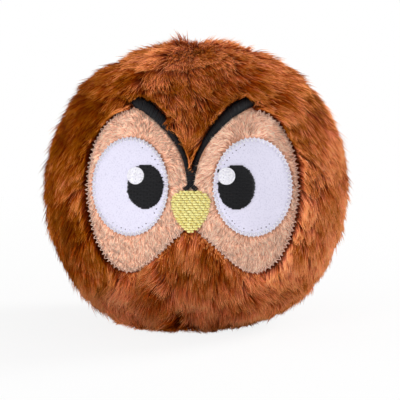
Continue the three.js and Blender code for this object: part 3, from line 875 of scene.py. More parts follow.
@dataclass(frozen=True)
class Surface(Finish):
    """Cloth, felt, thread, stuffing or plastic; drives says which grain roughens and bumps it."""

    grain: Grain
    patches: Grain
    stops: Pair
    share: float
    rough: Pair
    bump: Pair
    drives: tuple[int, int] = (0, 0)
    specular: float = 0.5
    sheen: float = 0.0
    metallic: float = 0.0

    def material(self) -> bpy.types.Material:
        """Make the material.

        Returns:
            The material.
        """
        bench = NodeBench(self.name)
        grains = self.grain.on(bench), self.patches.on(bench)
        # The darker colour follows the first grain; where that grain also drives the bump, it is
        # painted shade in the hollows.
        colour = bench.ramp(grains[0], *zip(self.stops, (self.deep, self.body)))
        bench.feed(
            bench.shader,
            Base_Color=bench.mottle(grains[1], self.share, colour, self.deep),
            Roughness=bench.spread(grains[self.drives[0]], *self.rough),
            Specular_IOR_Level=self.specular,
            Sheen_Weight=self.sheen,
            Metallic=self.metallic,
        )
        bench.raise_by(grains[self.drives[1]], *self.bump)
        return bench.material


CLOTH = {
    "stops": (0.3, 0.7), "share": 0.35, "rough": (0.82, 0.9), "bump": (0.6, 0.25), "drives": (0, 1),
    "sheen": 0.2,
}
FELTED = {
    "grain": Grain(0.45, 6.0), "patches": Grain(5.0, 2.0), "stops": (0.28, 0.5), "share": 0.25,
    "rough": (0.98, 0.86), "bump": (0.5, 0.2), "specular": 0.2, "sheen": 0.15,
}
THREAD = {
    "grain": Grain(0.5, 2.0), "patches": Grain(3.0, 3.0), "stops": (0.3, 0.62), "share": 0.3,
    "bump": (0.4, 0.08), "specular": 0.25,
}
MOULDED = {"stops": (0.3, 0.65), "share": 0.0, "bump": (0.25, 0.05), "drives": (1, 1)}
ROLLED = (1.0, 1.0, 0.1)


class Finishes:
    """Every finish of the toy."""

    FUR = PileFinish(
        "brown_pile", Slot.FUR, (66, 22, 3), (188, 82, 12), low=(122, 44, 4), tip=(252, 162, 72),
        values=(0.3, 1.85), sheen=0.015, tint=(255, 176, 110), gloss=0.14,
    )
    NAP = PileFinish(
        "tan_nap", Slot.PLUSH, (210, 146, 114), (255, 218, 192), low=(254, 198, 166),
        tip=(255, 236, 221), values=(0.66, 1.4), sheen=0.04, tint=(255, 225, 205), gloss=0.12,
    )
    HIDE = Surface(
        "fur_backing", Slot.FUR, (150, 74, 32), (196, 104, 50), Grain(3.0, 4.0), Grain(0.9), **CLOTH
    )
    PLUSH = Surface(
        "mask_ground", Slot.PLUSH, (196, 142, 112), (226, 174, 144), Grain(1.6, 4.0),
        Grain(0.5), **CLOTH,
    )
    BACKING = Surface(
        "embroidery_backing_cloth", Slot.BACKING, (196, 194, 188), (232, 231, 226), Grain(4.0, 4.0),
        Grain(0.8), **CLOTH,
    )
    FELT = Surface("white_felt", Slot.FELT, (206, 203, 224), (228, 225, 243), **FELTED)
    # Painted shade: dark felt that stands in for the shade in the needle holes.
    HOLE = Surface("needle_hole", Slot.FELT, (78, 70, 92), (104, 96, 118), **FELTED)
    BLACK = Surface(
        "black_thread", Slot.BLACK_THREAD, (5, 5, 8), (16, 16, 20), rough=(0.7, 0.56), **THREAD
    )
    WHITE = Surface(
        "white_thread", Slot.WHITE_THREAD, (216, 214, 226), (247, 246, 250),
        rough=(0.7, 0.46), **THREAD,
    )
    TAN = Surface(
        "tan_thread", Slot.TAN_THREAD, (206, 158, 132), (250, 220, 202), rough=(0.7, 0.46), **THREAD
    )
    YELLOW = Surface(
        "yellow_thread", Slot.YELLOW_THREAD, (212, 186, 80), (255, 253, 184),
        rough=(0.7, 0.5), **THREAD,
    )
    BROWN = Surface(
        "brown_thread", Slot.BROWN_THREAD, (58, 26, 12), (98, 50, 24), rough=(0.7, 0.5), **THREAD
    )
    FIBRE = Surface(
        "fibre_stuffing", Slot.FIBRE, (206, 208, 212), (244, 245, 247),
        Grain(1.2, 6.0, (1.0, 1.0, 4.0)), Grain(9.0, 3.0), stops=(0.3, 0.65), share=0.3,
        rough=(0.95, 0.75), bump=(0.8, 0.6), sheen=0.3,
    )
    BULB = Surface(
        "soft_bulb", Slot.BULB, (196, 200, 198), (232, 234, 230), Grain(6.0, 3.0), Grain(0.8, 2.0),
        rough=(0.32, 0.54), **MOULDED,
    )
    PLUG = Surface(
        "reed_plug", Slot.PLUG, (222, 218, 206), (244, 240, 228), Grain(6.0, 3.0), Grain(0.6, 2.0),
        rough=(0.28, 0.5), **MOULDED,
    )
    REED = Surface(
        "reed_strip", Slot.REED, (120, 122, 126), (176, 178, 182), Grain(6.0, 3.0, ROLLED),
        Grain(0.3, 2.0, ROLLED), rough=(0.2, 0.42), metallic=0.9, **MOULDED,
    )


class MeshMaker:
    """Turns arrays in millimetres into Blender pieces."""

    thread_sides: int = 6

    @staticmethod
    def make(name: str, points: Array, faces: list[Faces], map_at: Array | None = None) -> Piece:
        """Make a smooth mesh piece.

        Args:
            name: Its name.
            points: Its points.
            faces: Faces, one array per number of corners.
            map_at: Place of each point on the strands' map.

        Returns:
            The piece, still bare.
        """
        mesh = bpy.data.meshes.new(name)
        corners = np.concatenate([f.ravel() for f in faces]).astype(np.int32)
        counts = np.concatenate([np.full(len(f), f.shape[1], np.int32) for f in faces])
        mesh.vertices.add(len(points))
        mesh.vertices.foreach_set("co", (points * MM).astype(np.float32).ravel())
        mesh.loops.add(len(corners))
        mesh.loops.foreach_set("vertex_index", corners)
        mesh.polygons.add(len(counts))
        mesh.polygons.foreach_set("loop_start", (np.cumsum(counts) - counts).astype(np.int32))
        mesh.update(calc_edges=True)
        mesh.shade_smooth()
        if map_at is not None:
            layer = mesh.uv_layers.new(name=PILE_MAP)
            layer.uv.foreach_set("vector", map_at[corners].astype(np.float32).ravel())
        made = bpy.data.objects.new(name, mesh)
        bpy.context.scene.collection.objects.link(made)
        return made

    @staticmethod
    def sweep(
        paths: Array, radii: Array, up: Array, sides: int, flatten: float, pointed: bool = False
    ) -> tuple[Array, list[Faces]]:
        """Sweep a section along many paths.

        Args:
            paths: Path by point by place.
            radii: Radius at each point.
            up: Direction of the section's top.
            sides: Corners of the section.
            flatten: Its height over its width.
            pointed: Whether the last point is a tip.

        Returns:
            Points and faces.
        """
        count, steps, _ = paths.shape
        rings = steps - 1 if pointed else steps
        ahead = unit(np.gradient(paths, axis=1))
        side = unit(np.cross(ahead, np.broadcast_to(up, paths.shape)))
        top = np.cross(side, ahead)[:, :rings, None]
        angle = (2 * np.pi * np.arange(sides) / sides + np.pi / 2)[:, None]
        swing = np.cos(angle) * side[:, :rings, None] + flatten * np.sin(angle) * top
        shell = paths[:, :rings, None] + radii[:, :rings, None, None] * swing
        blocks = shell.reshape(count, rings * sides, 3)
        grid = np.arange(rings * sides).reshape(rings, sides)
        tube = quads(np.pad(grid, ((0, 0), (0, 1)), "wrap"))[:, [0, 3, 2, 1]]
        end = grid[-1:, ::-1]
        if pointed:
            blocks = np.concatenate([blocks, paths[:, -1:]], 1)
            tip = np.full(sides, rings * sides)
            end = np.stack([grid[-1], tip, np.roll(grid[-1], -1)], 1)
        size = blocks.shape[1]
        shift = (np.arange(count) * size)[:, None, None]
        faces = [(f[None] + shift).reshape(-1, f.shape[1]) for f in (tube, grid[:1], end)]
        return blocks.reshape(-1, 3), faces

    @classmethod
    def threads(
        cls, name: str, ball: BallForm, paths: Array, radii: Array | float, flatten: float = 1.0
    ) -> Piece:
        """Make threads that lie on the ball.

        Args:
            name: Name of the piece.
            ball: The ball.
            paths: Thread by point by place.
            radii: Radius, one for all or one for each point.
            flatten: Height of a thread over its width.

        Returns:
            The piece, still bare.
        """
        thick = np.broadcast_to(radii, paths.shape[:2])
        up = ball.outward(paths)
        return cls.make(name, *cls.sweep(paths, thick, up, cls.thread_sides, flatten))

    @staticmethod
    def sheet(upper: Array, under: Array, faces: Faces) -> tuple[Array, list[Faces]]:
        """Close a sheet along its rim.

        Args:
            upper: Points of its upper side.
            under: Points of its under side, in the same order.
            faces: Triangles of the upper side.

        Returns:
            Points and faces.
        """
        edges = np.concatenate([faces[:, [0, 1]], faces[:, [1, 2]], faces[:, [2, 0]]])
        pairs = np.sort(edges, 1)
        _, first, uses = np.unique(pairs, axis=0, return_index=True, return_counts=True)
        i, j = edges[first[uses == 1]].T
        count = len(upper)
        walls = np.stack([i, i + count, j + count, j], 1)
        both = np.concatenate([faces, faces[:, ::-1] + count])
        return np.concatenate([upper, under]), [both, walls]

    @classmethod
    def layer(
        cls, ball: BallForm, outline: Array, spacing: float, top: Depth, bottom: float
    ) -> tuple[Array, list[Faces]]:
        """Cut a sheet and bed it on the ball.

        Args:
            ball: The ball.
            outline: Flat outline of the cut.
            spacing: Spacing of its points.
            top: Depth of its upper side, from flat points and their distance to the edge.
            bottom: Depth of its under side.

        Returns:
            Points and faces.
        """
        clearance, merge = 0.6 * spacing, 1e-5
        rim = spaced(looped(outline), int(length_of(outline) / spacing) + 1)[:-1]
        ticks = [np.arange(low, high, spacing) for low, high in zip(rim.min(0), rim.max(0))]
        grid = np.stack(np.meshgrid(*ticks), -1)
        grid[1::2, :, 0] += spacing / 2
        grid = grid.reshape(-1, 2)
        grid = grid[lies_inside(rim, grid) & (distance_to(rim, grid) > clearance)]
        edges = [(i, (i + 1) % len(rim)) for i in range(len(rim))]
        places = [Vector(p) for p in np.concatenate([rim, grid])]
        flat, _, faces, *_ = delaunay_2d_cdt(places, edges, [], 1, merge)
        flat = np.array([tuple(p) for p in flat])
        faces = np.array([f for f in faces if len(f) == 3])
        a, b, c = flat[faces].transpose(1, 0, 2)
        turned = np.cross(b - a, c - a) < 0
        faces[turned] = faces[turned][:, ::-1]
        upper = ball.on_face(flat, top(flat, distance_to(rim, flat)))
        return cls.sheet(upper, ball.on_face(flat, bottom), faces)


class Dresser:
    """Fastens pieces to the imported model."""

    squeeze_keep: float = 0.93
    materials: dict[str, bpy.types.Material] = {}

    @classmethod
    def finish_of(cls, finish: Finish) -> bpy.types.Material:
        """Material of a finish, made once."""
        if finish.name not in cls.materials:
            cls.materials[finish.name] = finish.material()
        return cls.materials[finish.name]

    @classmethod
    def dress(cls, piece: Piece, finish: Finish, node: str, soft: bool = True) -> Piece:
        """Give a piece its finish and body, and hide the CAD node that it stands for.

        Args:
            piece: The piece.
            finish: Its finish.
            node: CAD node that it stands for.
            soft: Whether it gets its own copy of its mesh.

        Returns:
            The same piece.
        """
        piece.data.materials.append(cls.finish_of(finish))
        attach(piece, TOY_BODY)
        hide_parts(node)
        if soft:
            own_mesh(piece)
        log.info("%s: %d points, %s", piece.name, len(piece.data.vertices), finish.name)
        return piece


@dataclass
class Hide:
    """Knitted backing of the fur, sewn from three panels and filled tight."""

    ball: BallForm
    inset: float = 4.7
    thickness: float = 1.2
    columns: int = 120
    rows: int = 64
    points: Array = field(init=False)
    faces: Faces = field(init=False)
    normals: Array = field(init=False)

    def __post_init__(self) -> None:
        """Lay the panels out over the form."""
        wide = self.columns
        turn = np.linspace(0, 2 * np.pi, wide, endpoint=False)
        azimuth, level = np.meshgrid(turn, np.linspace(-1, 1, self.rows + 1)[:-1])
        grid = self.ball.point(azimuth, level, self.inset).reshape(-1, 3)
        inner = grid[:wide] * np.array([0.5, 0.5, 1.0])
        crown = self.ball.point(np.zeros(1), np.ones(1), self.inset)
        base = np.array([[0.0, 0.0, self.inset]])
        self.points = np.concatenate([base, inner, grid, crown])
        rings = 1 + np.arange((self.rows + 1) * wide).reshape(-1, wide)
        rings = np.pad(rings, ((0, 0), (0, 1)), "wrap")
        sides = quads(rings)
        low, high = np.zeros(wide, int), np.full(wide, len(self.points) - 1)
        foot = np.stack([low, rings[0, 1:], rings[0, :-1]], 1)
        cap = np.stack([rings[-1, :-1], rings[-1, 1:], high], 1)
        self.faces = np.concatenate([sides[:, [0, 1, 2]], sides[:, [0, 2, 3]], foot, cap])
        a, b, c = self.points[self.faces].transpose(1, 0, 2)
        total = np.zeros_like(self.points)
        for corner in range(3):
            np.add.at(total, self.faces[:, corner], np.cross(b - a, c - a))
        self.normals = unit(total)

    @staticmethod
    def panel_of(places: Array) -> Faces:
        """Number of the panel that holds each place."""
        return np.where(places[:, Y] < 0, 0, np.where(places[:, X] < 0, 1, 2))

    def sew(self) -> dict[Panel, Piece]:
        """Make the three panels as closed sheets.

        Returns:
            The piece of each panel.
        """
        made = {}
        owner = self.panel_of(self.points[self.faces].mean(1))
        for number, panel in enumerate(Panel):
            used, faces = np.unique(self.faces[owner == number], return_inverse=True)
            outer = self.points[used]
            inner = outer - self.thickness * self.normals[used]
            points, faces = MeshMaker.sheet(outer, inner, faces.reshape(-1, 3))
            piece = MeshMaker.make(f"{panel.value}_hide", points, faces)
            made[panel] = Dresser.dress(piece, Finishes.HIDE, panel.node)
        return made


@dataclass
class Strands:
    """Paths of pile, from root to tip.

    Attributes:
        paths: Strand by joint by place.
        normals: Direction out of the cloth at each root.
        tone: Tone of each strand, from 0, dark, to 1, pale, partly random and partly painted light
            and shade.
        worn: Share of the dark root colour that each strand leaves out, painted light against the
            shade beside the sewn face.
    """

    paths: Array
    normals: Array
    tone: Array
    worn: Array

    @classmethod
    def grow(
        cls, roots: Array, normals: Array, flow: Array, length: Array, lifts: tuple[Array, Array],
        bend: Array, joints: int,
    ) -> "Strands":
        """Grow strands that rise from the cloth and lie over along the flow.

        Args:
            roots: Their roots.
            normals: Directions out of the cloth.
            flow: Directions along the cloth.
            length: Their lengths.
            lifts: Angles above the cloth at root and tip.
            bend: Sideways turn at the tip.
            joints: Number of straight spans.

        Returns:
            The strands, in a middle tone.
        """
        paths = np.empty((len(roots), joints + 1, 3))
        paths[:, 0] = roots
        early = 0.8
        for joint in range(joints):
            share = (joint + 0.5) / joints
            lift = (lifts[0] + (lifts[1] - lifts[0]) * share**early)[:, None]
            step = swung(flow, normals, bend * share) * np.cos(lift) + normals * np.sin(lift)
            paths[:, joint + 1] = paths[:, joint] + (length / joints)[:, None] * step
        return cls(paths, normals, np.full(len(roots), 0.5), np.zeros(len(roots)))

    def joined(self, others: "Strands") -> "Strands":
        """These strands and others as one set."""
        mine, theirs = vars(self), vars(others)
        return Strands(**{name: np.concatenate([mine[name], theirs[name]]) for name in mine})

    def gather(self, count: int, pull: Pair, tone: float, rng: np.random.Generator) -> None:
        """Draw the tips of neighbours together into tufts.

        Args:
            count: Number of tufts.
            pull: Least and greatest share by which a tip is drawn.
            tone: How much the tufts differ in tone.
            rng: Source of chance.
        """
        guides = rng.choice(len(self.paths), count, replace=False)
        tree = KDTree(count)
        for number, place in enumerate(self.paths[guides, 0]):
            tree.insert(place, number)
        tree.balance()
        tuft = np.array([tree.find(place)[1] for place in self.paths[:, 0]])
        late = 1.3
        share = np.linspace(0, 1, self.paths.shape[1])[None, :, None] ** late
        strength = rng.uniform(*pull, len(self.paths))[:, None, None]
        self.paths += (self.paths[guides][tuft] - self.paths) * share * strength
        self.tone += rng.normal(0, tone, count)[tuft]

    def piece(self, name: str, chosen: Flags, radii: tuple[float, ...]) -> Piece:
        """Make a piece of the chosen strands.

        Args:
            name: Its name.
            chosen: Which strands it holds.
            radii: Radius at each joint.

        Returns:
            The piece, still bare.
        """
        paths, sides, darkest, palest, step = self.paths[chosen], 3, 0.03, 0.97, 0.006
        thick = np.broadcast_to(radii, paths.shape[:2])
        up = self.normals[chosen][:, None]
        points, faces = MeshMaker.sweep(paths, thick, up, sides, flatten=1.0, pointed=True)
        joints = paths.shape[1] - 1
        along = np.append(np.repeat(np.linspace(0, 1, joints + 1)[:-1], sides), 1.0)
        turn = np.append(np.tile(np.arange(sides), joints) - 1, 0)
        tone = np.clip(self.tone[chosen], darkest, palest)[:, None] + step * turn
        worn = self.worn[chosen][:, None]
        along = worn + (1 - worn) * along
        places = np.stack([tone.ravel(), 0.01 + 0.98 * along.ravel()], 1)
        return MeshMaker.make(name, points, faces, places)


@dataclass
class Pile:
    """Long brown pile that falls from a whorl behind the crown."""

    ball: BallForm
    hide: Hide
    clear: ClearField
    front_density: float = 6.4
    rear_density: float = 4.2
    length: float = 9.6
    shortest: float = 3.0
    longest: float = 12.0
    stray_share: float = 0.05
    radii: tuple[float, ...] = (0.15, 0.145, 0.105, 0.0)
    whorl: Triple = (-1.5, 17.0, 90.6)
    tuft: Triple = (-4.2, 4.0, 88.7)
    crown_height: float = 80.0
    parting: float = -2.8
    beard: Spot = Spot(0.0, -16.0, 2.6, 1.2)
    chin_lock: Spot = Spot(-10.6, -23.8, 2.6, -2.2)
    locks: tuple[Spot, ...] = (
        Spot(-7.6, 19.6, 1.7, 3.4),
        Spot(6.4, 18.0, 1.9, 0.6),
        Spot(-13.2, -23.8, 2.4, 5.4),
        Spot(-19.2, 29.0, 1.6, 1.8),
    )
    trims: tuple[Patch, ...] = (
        Patch(-0.3, ((X, 0.0, 14.0), (Z, 16.0, 5.0))),
        Patch(-0.13, ((X, 12.0, 34.0), (Z, 50.0, 38.0))),
        Patch(-0.12, ((Z, 10.0, 4.0),)),
    )
    # Painted light and shade: paler low down, at the top and at the lower left; darker under the
    # base and in a band below the top; paler at the lit right and darker at the shaded left of the
    # front; darker at the lower right.
    shades: tuple[Patch, ...] = (
        Patch(0.16, ((Z, 34.0, 16.0),)),
        Patch(-0.5, ((Z, 10.0, 3.0),)),
        Patch(0.12, ((Z, 78.0, 86.0),)),
        Patch(-0.16, ((Z, 52.0, 70.0), (Z, 88.0, 78.0))),
        Patch(0.22, ((X, 14.0, 40.0), (Y, 22.0, 4.0))),
        Patch(-0.33, ((X, -6.0, -32.0), (Z, 12.0, 30.0), (Y, 22.0, 4.0))),
        Patch(-0.26, ((X, 14.0, 34.0), (Z, 26.0, 14.0))),
        Patch(0.1, ((X, -8.0, -24.0), (Z, 26.0, 18.0))),
    )
    groove: Pair = (0.1, 1.9)
    tries: int = 80000
    joints: int = 3
    rounds: int = 4
    rng: np.random.Generator = field(default_factory=lambda: np.random.default_rng(11))

    def sow(self) -> tuple[Array, Array]:
        """Scatter roots over the hide, clear of the sewn face.

        Returns:
            Roots and the directions out of the hide there.
        """
        corners = self.hide.points[self.hide.faces]
        a, b, c = corners.transpose(1, 0, 2)
        area = np.linalg.norm(np.cross(b - a, c - a), axis=1) / 2
        middle = corners.mean(1)
        flat = self.ball.to_face(middle)
        near, _ = self.clear.at(flat)
        along_edge = 0.5 * fade(np.abs(near), 3.0)
        over_dart = 0.9 * hump(middle[:, X], 6.0) * (middle[:, Z] > self.crown_height)
        front = self.front_density * (1 + along_edge + self.beard.at(flat) + over_dart)
        wanted = area * np.where(middle[:, Y] < 0, front, self.rear_density)
        count = int(wanted.sum())
        face = self.rng.choice(len(area), count, p=wanted / wanted.sum())
        share = self.rng.dirichlet(np.ones(3), count)[:, :, None]
        roots = (corners[face] * share).sum(1)
        normals = unit((self.hide.normals[self.hide.faces[face]] * share).sum(1))
        gap, _ = self.clear.at(self.ball.to_face(roots))
        least = 0.05
        free = ~self.faces_forward(roots) | (gap >= least)
        return roots[free], normals[free]

    def faces_forward(self, points: Array, least: float = 0.15) -> Flags:
        """Whether points lie on the side of the ball that carries the face."""
        return self.ball.outward(points) @ self.ball.face_axis > least

    def overhang(self, flat: Array) -> Array:
        """How far the pile may fall over the edge of the sewn face.

        Args:
            flat: Points of the face plane.

        Returns:
            One reach per point: more at the locks, less along the brows.
        """
        across, up = np.abs(flat[..., 0]), flat[..., 1]
        usual, between_end, brow_end = 0.4, 14.0, 21.0
        locks = sum(lock.at(flat) for lock in self.locks)
        between = 0.35 * (across < between_end) * ease(up, 6.0, 9.0) + 0.35 * self.wedge(flat)
        beside_brow = np.where(flat[..., 0] > 0, 1.7, 1.5) * ease(up, 2.0, 12.0)
        over_brow = 0.8 * ease(up, 19.0, 24.0)
        brow = np.where(across < brow_end, over_brow, beside_brow)
        return usual + locks - between - brow - 0.5 * self.bib(flat)

    @staticmethod
    def wedge(flat: Array) -> Array:
        """How far points of the face plane belong to the wedge of pile between the brows."""
        across, up = np.abs(flat[..., 0]), flat[..., 1]
        return ease(across, 7.0, 4.0) * ease(up, 4.0, 5.0) * ease(up, 17.0, 13.0)

    @staticmethod
    def bib(flat: Array) -> Array:
        """How far points of the face plane belong to the pile under the beak."""
        return ease(flat[..., 1], -11.0, -14.0) * ease(np.abs(flat[..., 0]), 26.0, 20.0)

    def away(self, points: Array) -> Array:
        """Directions along the face that lead away from what is sewn on it."""
        _, slope = self.clear.at(self.ball.to_face(points))
        return self.ball.from_face(slope)

    def crease(self, roots: Array) -> tuple[Array, Array]:
        """Distances beside the parting along the chin dart, and how strongly it shows there."""
        shows = (roots[:, Y] < 0) * ease(roots[:, Z], 20.0, 12.0) * ease(roots[:, Z], 4.0, 9.0)
        return roots[:, X] - self.parting, shows

    def shade(self, roots: Array) -> Array:
        """Painted light and shade: how much paler than the rest the pile is painted in each place,
        darker below 0.
        """
        return sum(patch.at(roots) for patch in self.shades)

    def flow(self, roots: Array, normals: Array) -> Array:
        """Directions in which the pile is combed.

        Args:
            roots: Roots of the strands.
            normals: Directions out of the hide.

        Returns:
            Directions along the hide.
        """
        flat = self.ball.to_face(roots)
        gap, _ = self.clear.at(flat)
        facing, away = self.faces_forward(roots), self.away(roots)
        fall = np.array([0.0, 0.0, -0.25])
        lie = unit(roots - np.array(self.whorl)) + fall
        fan = np.tanh((roots[:, X] + 1.5 + 3.0 * Ripple(18.0, 8).at(roots)) / 13.0)
        lie[:, X] += 0.6 * fan * ease(roots[:, Z], 64.0, 78.0) * (roots[:, Y] < 0)
        lie[:, X] -= self.wedge(flat) * facing * (0.25 * fan + roots[:, X] / 3.0)
        held = 1 - np.clip(self.overhang(flat) - 0.5, 0, 1)
        toward = np.clip(-(lie * away).sum(1), 0, None) * fade(gap, 4.5) * facing * held
        drawn_in = 1.5 * fade(gap, 1.7) * facing * (toward <= 0) * (1 - self.bib(flat) * facing)
        lie += away * (1.05 * toward - drawn_in)[:, None]
        beside, chin = self.crease(roots)
        lie[:, X] += 0.55 * chin * np.sign(beside) * fade(np.abs(beside), 3.5)
        low_band = hump(roots[:, Z] - 18.0, 4.0 * math.sqrt(2)) * facing
        lie[:, X] += low_band * np.clip(roots[:, X] / 30.0, -0.6, 0.6)
        lie[:, X] += self.chin_lock.at(flat) * facing
        swirl = 0.32 * Ripple(24.0, 3).at(roots) + 0.14 * Ripple(9.0, 4).at(roots)
        swirl += self.rng.normal(0, 0.10, len(roots))
        return swung(laid(lie, normals), normals, swirl)

    def fill(self) -> Strands:
        """Grow the short pile in the groove beside the sewn face.

        Returns:
            Its strands.
        """
        low, high, sunk = (-40.0, -32.0), (40.0, 36.0), 0.2
        flat = self.rng.uniform(low, high, (self.tries, 2))
        gap, _ = self.clear.at(flat)
        held = (gap > self.groove[0]) & (gap < self.groove[1]) & (self.wedge(flat) < 0.5)
        flat, gap = flat[held], gap[held]
        count = len(flat)
        roots = self.ball.on_face(flat, self.hide.inset + sunk)
        normals = self.ball.outward(roots)
        length = 1.5 + gap + self.rng.normal(0, 0.2, count)
        root_lift = np.radians(78) + self.rng.normal(0, 0.1, count)
        lifts = root_lift, np.radians(52) + self.rng.normal(0, 0.15, count)
        flow = self.flow(roots, normals)
        bend = self.rng.normal(0, 0.3, count)
        strands = Strands.grow(roots, normals, flow, length, lifts, bend, self.joints)
        # Painted light and shade by region, and painted light in the shaded groove: paler strands
        # with paler roots.
        strands.tone = 0.52 + self.shade(roots) + self.rng.normal(0, 0.14, count)
        strands.worn[:] = 0.5
        strands.gather(count // 12, (0.1, 0.4), 0.06, self.rng)
        self.part(strands)
        return strands

    def comb(self) -> Strands:
        """Grow the long pile.

        Returns:
            Its strands.
        """
        roots, normals = self.sow()
        count, height = len(roots), roots[:, Z]
        flat = self.ball.to_face(roots)
        gap, _ = self.clear.at(flat)
        facing, high = self.faces_forward(roots), height > self.crown_height
        uneven = 0.06 * Ripple(9.0, 5).at(roots) + self.rng.normal(0, 0.08, count)
        flow = self.flow(roots, normals)
        lee = (0.72 + 0.28 * (flow * self.away(roots)).sum(1)) * fade(gap, 3.4)
        lee *= facing * (1 - 0.7 * self.bib(flat))
        pressed = facing * (1 - ease(gap, 0.0, 4.0)) * (1 - lee)
        from_whorl = np.linalg.norm((roots - np.array(self.whorl))[:, :2], axis=1)
        crest = hump(from_whorl, 9.0) * high
        tuft = hump(np.linalg.norm(roots - np.array(self.tuft), axis=1), 1.9)
        ridge = hump(roots[:, X], 5.0) * hump(roots[:, Y] - 5.0, 5.0) * high
        length = self.length * (1 + uneven)
        length *= 1 - 0.3 * pressed - 0.3 * lee - 0.28 * crest + 0.12 * tuft
        length *= 1 - 0.13 * ease(height, 80.0, 87.0) * (1 - tuft)
        for trim in self.trims:
            length *= 1 + trim.at(roots)
        stray = self.rng.random(count) < self.stray_share
        length = np.where(stray, 1.18 * length, np.clip(length, self.shortest, self.longest))
        puff = 0.10 * Ripple(13.0, 6).at(roots) + self.rng.normal(0, 0.06, count)
        puff += np.maximum.reduce([0.75 * lee, 0.55 * crest, 1.1 * tuft, 0.2 * ridge])
        puff -= 0.2 * ease(height, 60.0, 72.0) * facing
        lifts = np.radians(56) + puff - 0.2 * pressed, np.radians(9) + puff + 0.2 * stray
        bend = self.rng.normal(0, 0.22, count)
        sunk = roots - 0.3 * normals
        strands = Strands.grow(sunk, normals, flow, length, lifts, bend, self.joints)
        strands.tone = 0.47 + 0.13 * Ripple(13.0, 7).at(roots) + self.rng.normal(0, 0.17, count)
        # Painted light and shade by region, and painted light beside the sewn face: paler strands
        # with paler roots against the shade of the groove.
        strands.tone += self.shade(roots) + 0.08 * fade(gap, 1.6) * facing
        strands.worn = 0.45 * fade(gap, 1.5) * facing
        beside, chin = self.crease(roots)
        # Painted shade: the pile along the chin dart's parting is painted darker.
        strands.tone -= 0.6 * chin * hump(beside, 1.6)
        strands.gather(4200, (0.12, 0.55), 0.10, self.rng)
        strands.gather(420, (0.1, 0.34), 0.08, self.rng)
        loose = np.array([0.6, 1.0, 1.6])[:, None]
        strands.paths[:, 1:] += self.rng.normal(0, 0.07, (count, self.joints, 3)) * loose
        self.part(strands)
        self.rest(strands)
        return strands

    def rest(self, strands: Strands) -> None:
        """Tuck the pile under the ball where it would sink into the floor.

        Args:
            strands: The strands, which are changed.
        """
        lowest = 0.12 + 0.5 * self.rng.random((len(strands.paths), 1))
        sunk = np.clip(lowest + 0.6 - strands.paths[:, :, Z], 0, None)
        strands.paths[:, :, :2] *= (1 - np.minimum(sunk / 22.0, 0.2))[..., None]
        strands.paths[:, :, Z] = np.maximum(strands.paths[:, :, Z], lowest)

    def part(self, strands: Strands) -> None:
        """Push the pile off the sewn face, except where it falls over a brow.

        Args:
            strands: The strands, which are changed.
        """
        roots = strands.paths[:, 0]
        inside = self.wedge(self.ball.to_face(roots))
        ragged = self.rng.normal(0, 0.25, len(roots)) + 0.35 * Ripple(4.0, 9).at(roots)
        ragged *= 1 - 0.7 * inside
        allowed = ragged[:, None] - self.overhang(self.ball.to_face(strands.paths))
        facing = self.faces_forward(strands.paths)
        facing[:, 0] = False
        wedge = (inside * facing[:, 1])[:, None, None]
        push = self.away(strands.paths[:, :1]) * (1 - wedge) + 0.25 * self.ball.face_axis
        middle, brow_foot = 0.15, 7.5
        for _ in range(self.rounds):
            flat = self.ball.to_face(strands.paths)
            gap, _ = self.clear.at(flat)
            across, up = np.sign(middle - flat[..., 0]), 0.5 * (flat[..., 1] < brow_foot)
            inward = np.stack([across, np.zeros_like(gap), up], -1)
            short = np.clip(allowed - gap, 0, None) * facing
            strands.paths += short[..., None] * (push + wedge * inward)

    def zones(self, strands: Strands) -> dict[str, tuple[Panel, Flags]]:
        """Share the strands out among pieces.

        Args:
            strands: The strands.

        Returns:
            Panel and chosen strands of each piece.
        """
        roots = strands.paths[:, 0]
        owner = self.hide.panel_of(roots)
        across, up = self.ball.to_face(roots).T
        sector = np.floor((np.arctan2(across, up) / np.pi + 1) * 3).astype(int).clip(0, 5)
        third = np.digitize(roots[:, Z], [27.0, 60.0])
        sectors = [f"{word}_left" for word in ("chin", "cheek", "crown")]
        sectors += [f"{word}_right" for word in ("crown", "cheek", "chin")]
        shared = {}
        for number, panel in enumerate(Panel):
            front = panel is Panel.FRONT
            place, words = (sector, sectors) if front else (third, ("low", "middle", "high"))
            for band, word in enumerate(words):
                name = f"{panel.value}_pile_{word}"
                shared[name] = (panel, (owner == number) & (place == band))
        return shared

    def make(self) -> dict[Panel, list[Piece]]:
        """Make the pile.

        Returns:
            Pieces of each panel.
        """
        strands = self.comb().joined(self.fill())
        made: dict[Panel, list[Piece]] = {panel: [] for panel in Panel}
        for name, (panel, chosen) in self.zones(strands).items():
            piece = strands.piece(name, chosen, self.radii)
            made[panel].append(Dresser.dress(piece, Finishes.FUR, panel.node))
        return made


@dataclass
class CutSheet:
    """Sheet of the face, sewn down along its cut edge."""

    ball: BallForm
    pattern: FacePattern
    top: float
    bottom: float
    press: float
    press_reach: float
    spacing: float

    def depth(self, _: Array, edge: Array) -> Array:
        """Depth of the upper side, drawn down along the stitched edge."""
        return self.top + self.press * (1 - ease(edge, 0.0, self.press_reach))

    def sheet(self, outline: Array) -> tuple[Array, list[Faces]]:
        """Points and faces of the sheet."""
        return MeshMaker.layer(self.ball, outline, self.spacing, self.depth, self.bottom)


